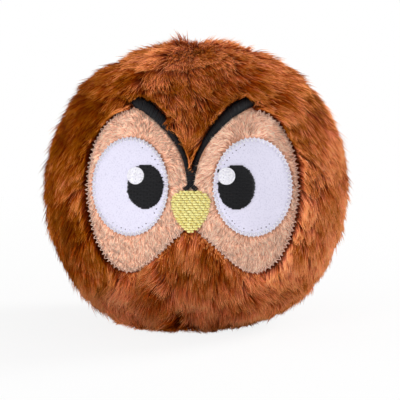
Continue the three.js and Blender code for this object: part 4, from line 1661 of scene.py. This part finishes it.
@dataclass
class Mask(CutSheet):
    """Tan mask of short-napped plush behind the eyes."""

    top: float = 2.75
    bottom: float = 4.2
    press: float = 0.7
    press_reach: float = 1.8
    spacing: float = 1.1
    nap_density: float = 12.0
    nap_length: float = 2.7
    nap_radii: tuple[float, ...] = (0.13, 0.12, 0.0)
    edge_gap: float = 0.5
    brow_gap: float = 0.45
    joints: int = 2
    rng: np.random.Generator = field(default_factory=lambda: np.random.default_rng(23))

    def cut(self) -> Piece:
        """Make the plush ground."""
        piece = MeshMaker.make("mask_plush", *self.sheet(self.pattern.mask()))
        return Dresser.dress(piece, Finishes.PLUSH, "face_mask")

    def nap_places(self) -> tuple[Array, Array, Array]:
        """Scatter roots of the nap over the mask, clear of what is sewn on it.

        Returns:
            Flat places, their distances from the cut edge and from a brow.
        """
        p, outline, under_edge = self.pattern, self.pattern.mask(), -0.3
        low, high = outline.min(0), outline.max(0)
        flat = self.rng.uniform(low, high, (int(np.prod(high - low) * self.nap_density), 2))
        flat = flat[lies_inside(outline, flat)]
        brows = [p.brow(side) for side in Side]
        for shape in (p.stem(), p.beak(), *brows, *(p.eye(side, under_edge) for side in Side)):
            flat = flat[~lies_inside(shape, flat)]
        edge = distance_to(outline, flat)
        brow = np.minimum(*[distance_to(shape, flat) for shape in brows])
        held = (edge > self.edge_gap) & (brow > self.brow_gap)
        return flat[held], edge[held], brow[held]

    def nap(self) -> Piece:
        """Make the short nap, which fans away from the eyes.

        Returns:
            The piece.
        """
        flat, edge, brow = self.nap_places()
        count, side = len(flat), np.sign(flat[:, 0])
        roots = self.ball.on_face(flat, self.depth(flat, edge) + 0.1)
        normals = self.ball.outward(roots)
        from_eye = [flat[:, 0] - side * self.pattern.eye_spacing / 2, flat[:, 1] * 0.8]
        fan = unit(np.stack(from_eye, 1)) + np.stack([0.25 * side, np.full(count, -0.75)], 1)
        turn = 0.5 * Ripple(5.0, 31).at(roots) + self.rng.normal(0, 0.25, count)
        flow = swung(laid(self.ball.from_face(fan), normals), normals, turn)
        length = self.nap_length * (1 + self.rng.normal(0, 0.15, count))
        length *= (0.45 + 0.55 * ease(edge, 0.5, 2.2)) * (0.3 + 0.7 * ease(brow, 0.0, 2.4))
        root_lift = np.radians(19) + self.rng.normal(0, 0.1, count)
        lifts = root_lift, np.radians(-2) + self.rng.normal(0, 0.08, count)
        bend = self.rng.normal(0, 0.3, count)
        strands = Strands.grow(roots, normals, flow, length, lifts, bend, self.joints)
        # Painted light: the nap is painted paler toward the left lobe.
        strands.tone = 0.5 + 0.1 * ease(flat[:, 0], -8.0, -20.0)
        strands.tone += 0.07 * Ripple(4.0, 33).at(roots) + self.rng.normal(0, 0.24, count)
        strands.gather(count // 12, (0.15, 0.5), 0.06, self.rng)
        piece = strands.piece("mask_nap", np.ones(count, bool), self.nap_radii)
        return Dresser.dress(piece, Finishes.NAP, "face_mask")


@dataclass
class EyeDisc(CutSheet):
    """White felt disc of one eye."""

    top: float = 1.5
    bottom: float = 2.35
    press: float = 0.5
    press_reach: float = 1.6
    spacing: float = 1.0
    side: Side = Side.LEFT
    hole_margin: float = 2.0
    hole_pitch: float = 1.4
    hole_share: float = 0.8
    hole_radii: Pair = (0.13, 0.24)
    hole_sides: int = 6

    def cut(self) -> Piece:
        """Make the disc.

        Returns:
            The piece.
        """
        word = self.side.word
        points, faces = self.sheet(self.pattern.eye(self.side))
        holes, rims = self.needle_holes()
        points, rims = np.concatenate([points, holes]), rims + len(points)
        piece = MeshMaker.make(f"{word}_eye_felt", points, [*faces, rims])
        Dresser.dress(piece, Finishes.FELT, f"{word}_eye_disc")
        # Painted shade in the needle holes.
        piece.data.materials.append(Dresser.finish_of(Finishes.HOLE))
        for face in list(piece.data.polygons)[-len(rims) :]:
            face.material_index = 1
        return piece

    def needle_holes(self) -> tuple[Array, Faces]:
        """Discs of painted shade for the needle holes inside the edge, toward the beak.

        Returns:
            Their points and faces.
        """
        rng = np.random.default_rng(101 + self.side.value)
        edge = self.pattern.eye(self.side, -self.hole_margin)
        spots = spaced(looped(edge), int(length_of(edge) / self.hole_pitch))[:-1]
        spots += rng.normal(0, 0.12, spots.shape)
        inner_end, low_end = self.pattern.eye_spacing / 2 - 1.5, -11.0
        inner = (spots[:, 0] * self.side.value < inner_end) | (spots[:, 1] < low_end)
        spots = spots[inner & (rng.random(len(spots)) < self.hole_share)]
        spots = spots[~lies_inside(self.pattern.pupil(self.side, 0.5), spots)]
        size = rng.uniform(*self.hole_radii, (len(spots), 1, 1))
        rims = spots[:, None] + size * ring(self.hole_sides)
        points = self.ball.on_face(rims.reshape(-1, 2), self.top - 0.03)
        return points, np.arange(len(points)).reshape(-1, self.hole_sides)


@dataclass
class Zigzag:
    """Zigzag stitching over a cut edge."""

    ball: BallForm
    line: Array
    outward: int
    inside: float
    outside: float
    depth: float
    radius: float
    ragged: float
    closed: bool = False
    pitch: float = 1.4
    dive: float = 0.22
    arch: float = 0.34
    spans: int = 5
    rng: np.random.Generator = field(default_factory=lambda: np.random.default_rng(41))

    def lay(self, name: str) -> Piece:
        """Make the thread, which dips into the cloth at each needle hole.

        Args:
            name: Name of the piece.

        Returns:
            The piece, still bare.
        """
        count = 2 * int(round(length_of(self.line) / self.pitch)) + 1
        corners = spaced(self.line, count)
        ahead = unit(np.gradient(corners, axis=0))
        if self.closed:
            ahead[0] = ahead[-1] = unit(ahead[0] + ahead[-1])
        reach = np.where(np.arange(count) % 2 == 1, self.outside, -self.inside)
        reach = reach + self.rng.normal(0, self.ragged, count)
        slip = self.rng.normal(0, 0.7 * self.ragged, (count, 1))
        holes = corners + left_of(ahead) * self.outward * reach[:, None] + ahead * slip
        if self.closed:
            holes[-1] = holes[0]
        share = np.linspace(0, 1, self.spans + 1)[:-1]
        legs = holes[:-1, None] + np.diff(holes, axis=0)[:, None] * share[None, :, None]
        flat = np.concatenate([legs.reshape(-1, 2), holes[-1:]])
        lowest = self.depth + self.dive
        leg_depth = lowest - self.arch * np.sin(np.pi * share) ** 0.6
        depth = np.append(np.tile(leg_depth, count - 1), lowest)
        path = self.ball.on_face(flat, depth)[None]
        return MeshMaker.threads(name, self.ball, path, self.radius)


@dataclass
class ThreadRows:
    """Embroidered patch of level thread rows."""

    ball: BallForm
    outline: Array
    pitch: float
    stitch: float
    depth: float
    crown: float
    ragged: float
    seed: int
    plump: float = 0.64
    dimple: float = 0.26
    under: Array | None = None
    shortest: float = 0.5
    flatten: float = 0.9
    steps: int = 40

    def rows(self) -> Array:
        """Flat ends of each row.

        Returns:
            Row by end by place.
        """
        rng = np.random.default_rng(self.seed)
        low, high = self.outline[:, 1].min(), self.outline[:, 1].max()
        ends = np.roll(self.outline, -1, axis=0)
        found = []
        for level in np.arange(low + 0.45 * self.pitch, high - 0.2 * self.pitch, self.pitch):
            cut = (self.outline[:, 1] > level) != (ends[:, 1] > level)
            (ax, ay), (bx, by) = self.outline[cut].T, ends[cut].T
            places = np.sort(ax + (bx - ax) * (level - ay) / (by - ay))
            if len(places) >= 2 and places[-1] - places[0] > self.shortest:
                found.append([[places[0], level], [places[-1], level]])
        rows = np.array(found)
        rows[:, :, 0] += rng.normal(0, self.ragged, rows.shape[:2])
        return rows

    def lay(self, name: str) -> Piece:
        """Make the threads.

        Args:
            name: Name of the piece.

        Returns:
            The piece, still bare.
        """
        rows = self.rows()
        share = np.linspace(0, 1, self.steps)
        flat = rows[:, :1] + (rows[:, 1:] - rows[:, :1]) * share[None, :, None]
        spots, shape = flat.reshape(-1, 2), flat.shape[:2]
        brick = (np.arange(len(rows)) % 3)[:, None] / 3
        phase = (flat[..., 0] / self.stitch + brick) % 1
        hole = hump(np.minimum(phase, 1 - phase) * self.stitch, 0.6 * self.dimple)
        wide = (rows[:, 1, 0] - rows[:, 0, 0])[:, None]
        ends = hump(np.minimum(share, 1 - share) * wide, 0.25)
        swell = self.crown * ease(distance_to(self.outline, spots).reshape(shape), 0.0, 3.0)
        sag = np.maximum(self.dimple * hole, 0.26 * ends)
        if self.under is not None:
            sag += 0.5 * lies_inside(self.under, spots).reshape(shape)
        paths = self.ball.on_face(flat, self.depth - swell + sag)
        thin = np.maximum(self.dimple * hole, 0.28 * ends)
        radii = self.plump * self.pitch * (1 - thin)
        return MeshMaker.threads(name, self.ball, paths, radii, self.flatten)


@dataclass
class Satin:
    """Satin stitches laid side by side across a band."""

    ball: BallForm
    spine: Array
    half: Array
    depth: float
    rise: float
    seed: int
    slant: float = 0.0
    pitch: float = 0.36
    plump: float = 0.62
    steps: int = 9

    def lay(self, name: str) -> Piece:
        """Make the threads.

        Args:
            name: Name of the piece.

        Returns:
            The piece, still bare.
        """
        rng = np.random.default_rng(self.seed)
        count = int(length_of(self.spine) / self.pitch)
        line = spaced(np.column_stack([self.spine, self.half]), count)
        middle, half = line[:, None, :2], line[:, 2:]
        ahead = unit(np.gradient(line[:, :2], axis=0))
        share = np.linspace(-1, 1, self.steps)
        reach = half * (1 + rng.normal(0, 0.06, (count, 2)))
        spread = np.where(share < 0, reach[:, :1], reach[:, 1:]) * share
        lean = self.slant * spread + rng.normal(0, 0.05, (count, 1))
        flat = middle + left_of(ahead)[:, None] * spread[..., None]
        flat = flat + ahead[:, None] * lean[..., None]
        arch = np.sqrt(np.clip(1 - share**2, 0, 1))
        depth = self.depth - self.rise * half * arch + rng.normal(0, 0.04, (count, 1))
        paths = self.ball.on_face(flat, depth)
        return MeshMaker.threads(name, self.ball, paths, self.plump * self.pitch)


@dataclass
class Face:
    """Everything that is sewn onto the front of the cover."""

    ball: BallForm
    pattern: FacePattern
    beak_gap: float = 2.6
    brow_gap: float = 0.4
    rim_depth: float = 0.86
    rim_radius: float = 0.2
    brow_slant: float = 0.35
    brow_inset: float = 0.18
    foot_reach: float = 1.7
    foot_height: float = 1.3
    foot_half: float = 0.55
    stem_steps: int = 30
    foot_steps: int = 12

    def outlines(self) -> list[Array]:
        """Closed outlines that the pile keeps clear of."""
        p = self.pattern
        return [p.mask(), p.brow(Side.LEFT), p.brow(Side.RIGHT), p.stem(), p.beak()]

    def stitch_mask(self, side: Side) -> None:
        """Sew one lobe of the mask down, from the brow's tip to the beak.

        Args:
            side: Which lobe.
        """
        p = self.pattern
        border = p.mask_border(side)
        out, up = border[:, 0] * side.value, border[:, 1]
        brow_end = p.eye_spacing / 2 - p.brow_tip_in + p.brow_tip / 2 + self.brow_gap
        line = border[((up < 0) | (out > brow_end)) & ((up > 0) | (out > self.beak_gap))]
        zigzag = Zigzag(
            self.ball, line, side.value, inside=1.0, outside=0.7, depth=2.5, radius=0.14, ragged=0.2
        )
        piece = zigzag.lay(f"{side.word}_mask_zigzag")
        Dresser.dress(piece, Finishes.TAN, f"{side.word}_mask_stitch")

    def stitch_eye(self, side: Side) -> None:
        """Sew one eye disc down all round.

        Args:
            side: Which eye.
        """
        line, sizes = looped(self.pattern.eye(side)), {"inside": 1.2, "outside": 0.32, "depth": 1.5}
        zigzag = Zigzag(self.ball, line, -1, **sizes, radius=0.15, ragged=0.08, closed=True)
        piece = zigzag.lay(f"{side.word}_eye_zigzag")
        Dresser.dress(piece, Finishes.WHITE, f"{side.word}_eye_stitch")

    def embroider_eye(self, side: Side) -> None:
        """Embroider one pupil and the highlight on it.

        Args:
            side: Which eye.
        """
        p, word = self.pattern, side.word
        spot = p.highlight(side)
        rows = ThreadRows(
            self.ball, p.pupil(side), pitch=0.46, stitch=3.1, depth=1.18, crown=0.22, ragged=0.11,
            seed=51 + side.value, under=spot,
        )
        Dresser.dress(rows.lay(f"{word}_pupil_rows"), Finishes.BLACK, f"{word}_pupil")
        shine = ThreadRows(
            self.ball, spot, pitch=0.34, stitch=5.2, depth=0.9, crown=0.3, ragged=0.03,
            seed=61 + side.value, plump=0.75,
        )
        Dresser.dress(shine.lay(f"{word}_highlight_rows"), Finishes.WHITE, f"{word}_highlight")
        path = self.ball.on_face(np.concatenate([spot, spot[:2]]), self.rim_depth)[None]
        rim = MeshMaker.threads(f"{word}_highlight_rim", self.ball, path, self.rim_radius)
        Dresser.dress(rim, Finishes.WHITE, f"{word}_highlight")

    def embroider_stray(self) -> None:
        """Embroider the few stray threads beside the right pupil."""
        speck = self.pattern.oval(self.pattern.pupil_at(Side.RIGHT) - 5.7, 4.9, 0.7, 1.6)
        stray = ThreadRows(
            self.ball, speck, pitch=0.36, stitch=3.1, depth=1.2, crown=0.1, ragged=0.04, seed=67
        )
        Dresser.dress(stray.lay("right_pupil_stray_rows"), Finishes.BLACK, "right_pupil")

    def embroider_brow(self, side: Side) -> None:
        """Embroider one brow in satin stitch, with its round tip.

        Args:
            side: Which brow.
        """
        p = self.pattern
        line = p.brow_line(side)
        half = p.brow_half(np.linspace(0, 1, len(line)))
        turn = np.linspace(0, 0.97, 12)[1:, None]
        ahead = unit(line[-1] - line[-2])
        spine = np.concatenate([line, line[-1] + ahead * p.brow_tip / 2 * turn])
        half = np.concatenate([half, p.brow_tip / 2 * np.sqrt(1 - turn[:, 0] ** 2)])
        sizes = {"depth": 3.5, "rise": 0.72, "slant": self.brow_slant * side.value}
        satin = Satin(self.ball, spine, half - self.brow_inset, **sizes, seed=71 + side.value)
        Dresser.dress(satin.lay(f"{side.word}_brow_satin"), Finishes.BLACK, f"{side.word}_brow")

    def embroider_stem(self) -> None:
        """Embroider the stem, which splits into two short feet over the beak."""
        p, steps, foot_steps = self.pattern, self.stem_steps, self.foot_steps
        foot = p.gap - p.beak_top
        waist = foot + self.foot_height
        for side in Side:
            across = np.linspace(0.0, self.foot_reach * side.value, foot_steps)
            leg = np.stack([across, np.linspace(waist + 0.3, foot, foot_steps)], 1)
            half = np.full(foot_steps, self.foot_half)
            stitch = Satin(self.ball, leg, half, depth=2.3, rise=0.9, seed=78)
            Dresser.dress(stitch.lay(f"stem_{side.word}_foot"), Finishes.BLACK, "brow_stem")
        line = np.stack([np.zeros(steps), np.linspace(p.stem_top + 0.4, waist - 0.2, steps)], 1)
        half = p.stem_width / 2 * (1 - 0.5 * ease(np.linspace(0, 1, steps), 0.6, 1.0))
        satin = Satin(self.ball, line, half, depth=3.3, rise=0.9, seed=77)
        Dresser.dress(satin.lay("stem_satin"), Finishes.BLACK, "brow_stem")

    def embroider_beak(self) -> None:
        """Embroider the beak in short level stitches."""
        inset = self.pattern.beak() * np.array([0.95, 1.0])
        rows = ThreadRows(
            self.ball, inset, pitch=0.78, stitch=1.8, depth=2.15, crown=0.5, ragged=0.14, seed=83,
            plump=0.54, dimple=0.42,
        )
        Dresser.dress(rows.lay("beak_rows"), Finishes.YELLOW, "beak")

    def make(self) -> dict[str, Piece]:
        """Sew and embroider the whole face.

        Returns:
            The cut pieces by name.
        """
        mask = Mask(self.ball, self.pattern)
        cut = {"mask": mask.cut(), "nap": mask.nap()}
        for side in Side:
            cut[f"{side.word}_eye"] = EyeDisc(self.ball, self.pattern, side=side).cut()
            self.stitch_mask(side)
            self.stitch_eye(side)
            self.embroider_eye(side)
            if side is Side.RIGHT:
                self.embroider_stray()
            self.embroider_brow(side)
        self.embroider_stem()
        self.embroider_beak()
        return cut


@dataclass
class Lining:
    """Backing of the embroidery, the stuffing and the sewing threads inside the cover."""

    ball: BallForm
    pattern: FacePattern
    backing_top: float = 6.3
    backing_thickness: float = 0.6
    backing_margin: float = 3.0
    backing_spacing: float = 2.0
    wad_inset: float = 7.2
    lump: float = 1.4
    fill: float = 0.75
    room_radius: float = 17.5
    room_bottom: float = 22.9
    room_top: float = 59.4
    seam_inset: float = 8.0
    seam_off: float = 2.35
    seam_sway: float = 0.12
    seam_radius: float = 0.28
    back_end: float = 6.6
    opening: Pair = (16.0, 48.0)
    ladder_inset: float = 4.9
    ladder_margin: float = 0.7
    ladder_half: float = 0.8
    ladder_rungs: int = 18
    ladder_radius: float = 0.2
    columns: int = 40
    rows: int = 36
    steps: int = 80
    loop_steps: int = 260
    back_steps: int = 90
    ladder_steps: int = 140

    def back(self) -> Piece:
        """Make the backing behind the embroidery.

        Returns:
            The piece.
        """
        p = self.pattern
        width = p.eye_spacing + p.eye_width + 2 * (p.mask_side + self.backing_margin)
        height = p.eye_height + p.mask_top + p.mask_bottom + 2 * self.backing_margin
        outline = p.oval(0.0, (p.mask_top - p.mask_bottom) / 2, width, height)
        top, bottom = self.backing_top, self.backing_top + self.backing_thickness
        even = {"press": 0.0, "press_reach": 1.0, "spacing": self.backing_spacing}
        sheet = CutSheet(self.ball, p, top, bottom, **even).sheet(outline)
        piece = MeshMaker.make("embroidery_backing_cloth", *sheet)
        return Dresser.dress(piece, Finishes.BACKING, "embroidery_backing")

    def wad(self, word: str, side: int, seed: int) -> None:
        """Make one wad of stuffing, lumpy outside and hollow round the squeaker.

        Args:
            word: Front or rear, in its names.
            side: -1 for the front wad, 1 for the rear one.
            seed: Seed of its lumps.
        """
        columns, rows = self.columns, self.rows
        turn = side * np.linspace(0.02, np.pi - 0.02, columns)
        azimuth, level = np.meshgrid(turn, np.linspace(-1, 1, rows))
        outer = self.ball.point(azimuth, level, self.wad_inset).reshape(-1, 3)
        lump = np.clip(0.5 + 0.5 * Ripple(14.0, seed).at(outer), 0, 1)
        outer -= self.ball.outward(outer) * (self.lump * lump)[:, None]
        round_up = np.pi / 2 * level.ravel()
        radius = self.room_radius * np.cos(round_up) ** 0.35
        half = (self.room_top - self.room_bottom) / 2
        middle = self.room_bottom + half
        room = radius[:, None] * circle(azimuth.ravel())
        inner = np.column_stack([room, middle + half * np.sin(round_up)])
        grid, shift = np.arange(rows * columns).reshape(rows, columns), rows * columns
        sheet = quads(grid)
        rim = np.concatenate([grid[0], grid[1:, -1], grid[-1, -2::-1], grid[-2:0:-1, 0]])
        after = np.roll(rim, -1)
        wall = np.stack([rim, rim + shift, after + shift, after], 1)
        faces = np.concatenate([sheet, sheet[:, ::-1] + shift, wall])[:, ::side]
        piece = MeshMaker.make(f"{word}_wad", np.concatenate([outer, inner]), [faces])
        Dresser.dress(piece, Finishes.FIBRE, f"{word}_stuffing")

    def sway(self, count: int) -> Array:
        """How far a seam's thread lies beside the seam's plane, point by point."""
        return -self.seam_off + self.seam_sway * np.sin(np.arange(count) * np.pi / 2)

    def sew(self) -> None:
        """Make the girth seam, the back seam and the ladder stitch that closes it."""
        level, rear = np.linspace(-0.98, 1, self.steps), np.full(self.steps, np.pi / 2)
        right = self.ball.point(np.zeros(self.steps), level, self.seam_inset)
        foot = np.array([[1.5, 0.0, self.seam_inset]])
        half = np.concatenate([foot, right])
        loop = spaced(np.concatenate([half, half[-2::-1] * FLIP_SPACE]), self.loop_steps)
        loop[:, Y] = self.sway(self.loop_steps)
        low, high = self.opening
        back = self.ball.point(rear, level, self.seam_inset)
        back = back[(back[:, Z] > high) & (back[:, Y] > self.back_end)]
        back = spaced(back, self.back_steps)
        back[:, X] = self.sway(self.back_steps)
        furrow = self.ball.point(rear, level, self.ladder_inset)
        low, high = low + self.ladder_margin, high - self.ladder_margin
        rungs = spaced(furrow[(furrow[:, Z] > low) & (furrow[:, Z] < high)], self.ladder_rungs)
        rungs[:, X] = self.ladder_half * (-1.0) ** np.arange(self.ladder_rungs)
        ladder = spaced(rungs, self.ladder_steps)
        for name, node, path, radius in (
            ("girth_seam_sewing", "girth_seam_thread", loop, self.seam_radius),
            ("back_seam_sewing", "back_seam_thread", back, self.seam_radius),
            ("closing_ladder", "closing_stitch", ladder, self.ladder_radius),
        ):
            piece = MeshMaker.threads(name, self.ball, path[None], radius)
            Dresser.dress(piece, Finishes.BROWN, node)

    def make(self) -> dict[str, Piece]:
        """Make everything between the cover and the squeaker.

        Returns:
            The cut pieces by name.
        """
        cut = {"backing": self.back()}
        self.wad("front", -1, 91)
        self.wad("rear", 1, 92)
        self.sew()
        return cut


@dataclass
class Squeaker:
    """Bellows bulb and reed in the middle of the stuffing."""

    radius: float = 17.0
    wall: float = 1.0
    fold_count: int = 3
    fold_height: float = 3.6
    fold_depth: float = 3.0
    bottom: float = 38.6
    travel: float = 6.5
    fold_steps: int = 16
    sides: int = 64
    moulded: tuple[tuple[str, Finish], ...] = (
        ("squeaker_cup", Finishes.BULB),
        ("squeaker_crown", Finishes.BULB),
        ("reed_holder", Finishes.PLUG),
        ("reed_cover", Finishes.PLUG),
        ("reed_root", Finishes.REED),
        ("reed_tongue", Finishes.REED),
    )

    def fold(self) -> None:
        """Make the folded wall at rest; on the squeaker it closes up as the crown comes down."""
        share = np.linspace(0, 1, self.fold_steps * self.fold_count + 1)
        tall = self.fold_count * self.fold_height
        wave = 0.5 - 0.5 * np.cos(2 * np.pi * share * self.fold_count)
        outside, height = self.radius - self.fold_depth * wave, self.bottom + tall * share
        radii = np.concatenate([outside, outside[::-1] - self.wall])[:, None, None]
        heights = np.concatenate([height, height[::-1]])[:, None, None]
        rings = radii * ring(self.sides)
        points = np.concatenate([rings, np.broadcast_to(heights, (*rings.shape[:2], 1))], -1)
        grid = np.arange(len(rings) * self.sides).reshape(-1, self.sides)
        faces = quads(np.pad(grid, ((0, 1), (0, 1)), "wrap"))
        piece = MeshMaker.make("bulb_folds", points.reshape(-1, 3), [faces])
        Dresser.dress(piece, Finishes.BULB, "squeaker_folds", soft=False)
        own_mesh(piece)

    def make(self) -> None:
        """Finish the moulded pieces and make the folds."""
        self.fold()
        for node, finish in self.moulded:
            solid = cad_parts[node]
            solid.data.materials.clear()
            solid.data.materials.append(Dresser.finish_of(finish))
            log.info("%s: solid of the packed model, %s", node, finish.name)


def toward(azimuth: float, elevation: float) -> Vector:
    """Direction to a place round the toy, by its angles from the front and above the floor."""
    a, e = math.radians(azimuth), math.radians(elevation)
    return Vector((math.sin(a) * math.cos(e), -math.cos(a) * math.cos(e), math.sin(e)))


def hang(name: str, data: bpy.types.ID, place: Vector, back: Vector) -> Piece:
    """Put a lamp or a camera into the studio.

    Args:
        name: Its name.
        data: Its settings.
        place: Where it is.
        back: Direction that its back is turned to.

    Returns:
        The lamp or camera.
    """
    made = bpy.data.objects.new(name, data)
    made.location = place
    made.rotation_mode = "QUATERNION"
    made.rotation_quaternion = (-back).to_track_quat("-Z", "Y")
    bpy.context.scene.collection.objects.link(made)
    return made


@dataclass(frozen=True)
class Lamp:
    """Soft round studio lamp."""

    name: str
    azimuth: float
    elevation: float
    distance: float
    size: float
    gain: float

    def light(self, target: Vector) -> None:
        """Hang the lamp.

        Args:
            target: Point that it faces.
        """
        data = bpy.data.lights.new(self.name, "AREA")
        data.shape, data.size = "DISK", self.size
        data.energy = self.gain * math.pi**2 * self.distance**2
        back = toward(self.azimuth, self.elevation)
        hang(self.name, data, target + back * self.distance, back)


@dataclass
class Studio:
    """Camera, lamps, pale floor and white surroundings."""

    azimuth: float = 2.3
    elevation: float = 8.0
    distance: float = 0.9
    sensor: float = 36.0
    lens: float = 245.5
    target: Triple = (0.0, 0.0, 0.045)
    aside: Pair = (0.00107, -0.00463)
    ambient: float = 0.36
    floor_half: float = 6000.0
    floor_fade: Pair = (0.05, 0.3)
    floor_glow: float = 0.86
    lamps: tuple[Lamp, ...] = (
        Lamp("key_lamp", -32.0, 11.0, distance=1.0, size=0.6, gain=0.54),
        Lamp("fill_lamp", 24.0, 2.0, distance=1.2, size=0.8, gain=0.19),
        Lamp("rim_lamp", 118.0, 26.0, distance=0.9, size=0.4, gain=1.0),
        Lamp("side_lamp", -95.0, 24.0, distance=1.0, size=0.5, gain=0.08),
    )

    def shoot(self) -> None:
        """Place the camera at the photograph's angle."""
        back = toward(self.azimuth, self.elevation)
        shift = (-back).to_track_quat("-Z", "Y") @ Vector((*self.aside, 0.0))
        data = bpy.data.cameras.new("camera")
        data.sensor_width, data.lens = self.sensor, self.lens
        place = Vector(self.target) + shift + back * self.distance
        bpy.context.scene.camera = hang("camera", data, place, back)

    @staticmethod
    def seen(tree: bpy.types.NodeTree) -> Socket:
        """Whether a ray shows the surroundings.

        Args:
            tree: Node tree to add to.

        Returns:
            1 for camera, glossy and transmitted rays, else 0.
        """
        path = tree.nodes.new("ShaderNodeLightPath")
        total = path.outputs["Is Camera Ray"]
        for name in ("Is Glossy Ray", "Is Transmission Ray"):
            more = tree.nodes.new("ShaderNodeMath")
            more.operation = "MAXIMUM"
            tree.links.new(total, more.inputs[0])
            tree.links.new(path.outputs[name], more.inputs[1])
            total = more.outputs[0]
        return total

    @staticmethod
    def mix(tree: bpy.types.NodeTree, share: Socket, first: Socket, second: Socket) -> None:
        """Mix two shaders and link them to the tree's output.

        Args:
            tree: Node tree to add to.
            share: Share of the second.
            first: The first shader.
            second: The second shader.
        """
        made = tree.nodes.new("ShaderNodeMixShader")
        for number, socket in enumerate((share, first, second)):
            tree.links.new(socket, made.inputs[number])
        output = next(node for node in tree.nodes if node.name.endswith("Output"))
        tree.links.new(made.outputs[0], output.inputs["Surface"])

    def surround(self) -> None:
        """Set the world: white to the camera, soft light to the toy."""
        world = bpy.data.worlds.new("studio")
        bpy.context.scene.world = world
        world.use_nodes = True
        tree = world.node_tree
        soft, white = tree.nodes["Background"], tree.nodes.new("ShaderNodeBackground")
        soft.inputs["Strength"].default_value = self.ambient
        for light in (soft, white):
            light.inputs["Color"].default_value = (1.0, 1.0, 1.0, 1.0)
        self.mix(tree, self.seen(tree), soft.outputs[0], white.outputs[0])

    def floor(self) -> None:
        """Lay the pale floor, which keeps the toy's shadow."""
        corners = np.array([[-1, -1, 0], [1, -1, 0], [1, 1, 0], [-1, 1, 0]]) * self.floor_half
        piece = MeshMaker.make("floor", corners, [np.array([[0, 1, 2, 3]])])
        bench = NodeBench("pale_floor")
        pale = bench.ramp(bench.noise(400.0, 2.0), (0.3, (244, 244, 244)), (0.7, (248, 248, 248)))
        bench.feed(bench.shader, Base_Color=pale, Roughness=0.9)
        glow = bench.node("ShaderNodeEmission")
        bench.feed(glow, Color=(1.0, 1.0, 1.0, 1.0), Strength=1.0)
        away = bench.node("ShaderNodeVectorMath", operation="LENGTH")
        bench.feed(away, Vector=bench.place)
        reach = bench.feed(
            bench.node("ShaderNodeMapRange"),
            Value=away.outputs["Value"],
            From_Min=self.floor_fade[0],
            From_Max=self.floor_fade[1],
            To_Min=self.floor_glow,
            To_Max=1.0,
        )
        share = bench.node("ShaderNodeMath", operation="MULTIPLY")
        bench.tree.links.new(self.seen(bench.tree), share.inputs[0])
        bench.tree.links.new(reach.outputs["Result"], share.inputs[1])
        self.mix(bench.tree, share.outputs[0], bench.shader.outputs[0], glow.outputs[0])
        piece.data.materials.append(bench.material)

    def set_up(self) -> None:
        """Set the whole studio up."""
        bpy.context.scene.view_settings.view_transform = "Standard"
        self.shoot()
        self.surround()
        self.floor()
        for lamp in self.lamps:
            lamp.light(Vector(self.target))


def main() -> None:
    """Build the toy in order."""
    logging.basicConfig(level=logging.INFO, format="%(message)s")
    Studio().set_up()
    ball = BallForm()
    face = Face(ball, FacePattern())
    hide = Hide(ball)
    panels = hide.sew()
    pile = Pile(ball, hide, ClearField(face.outlines())).make()
    cut = face.make()
    cut.update(Lining(ball, face.pattern).make())
    Squeaker().make()


if __name__ == "__main__":
    main()
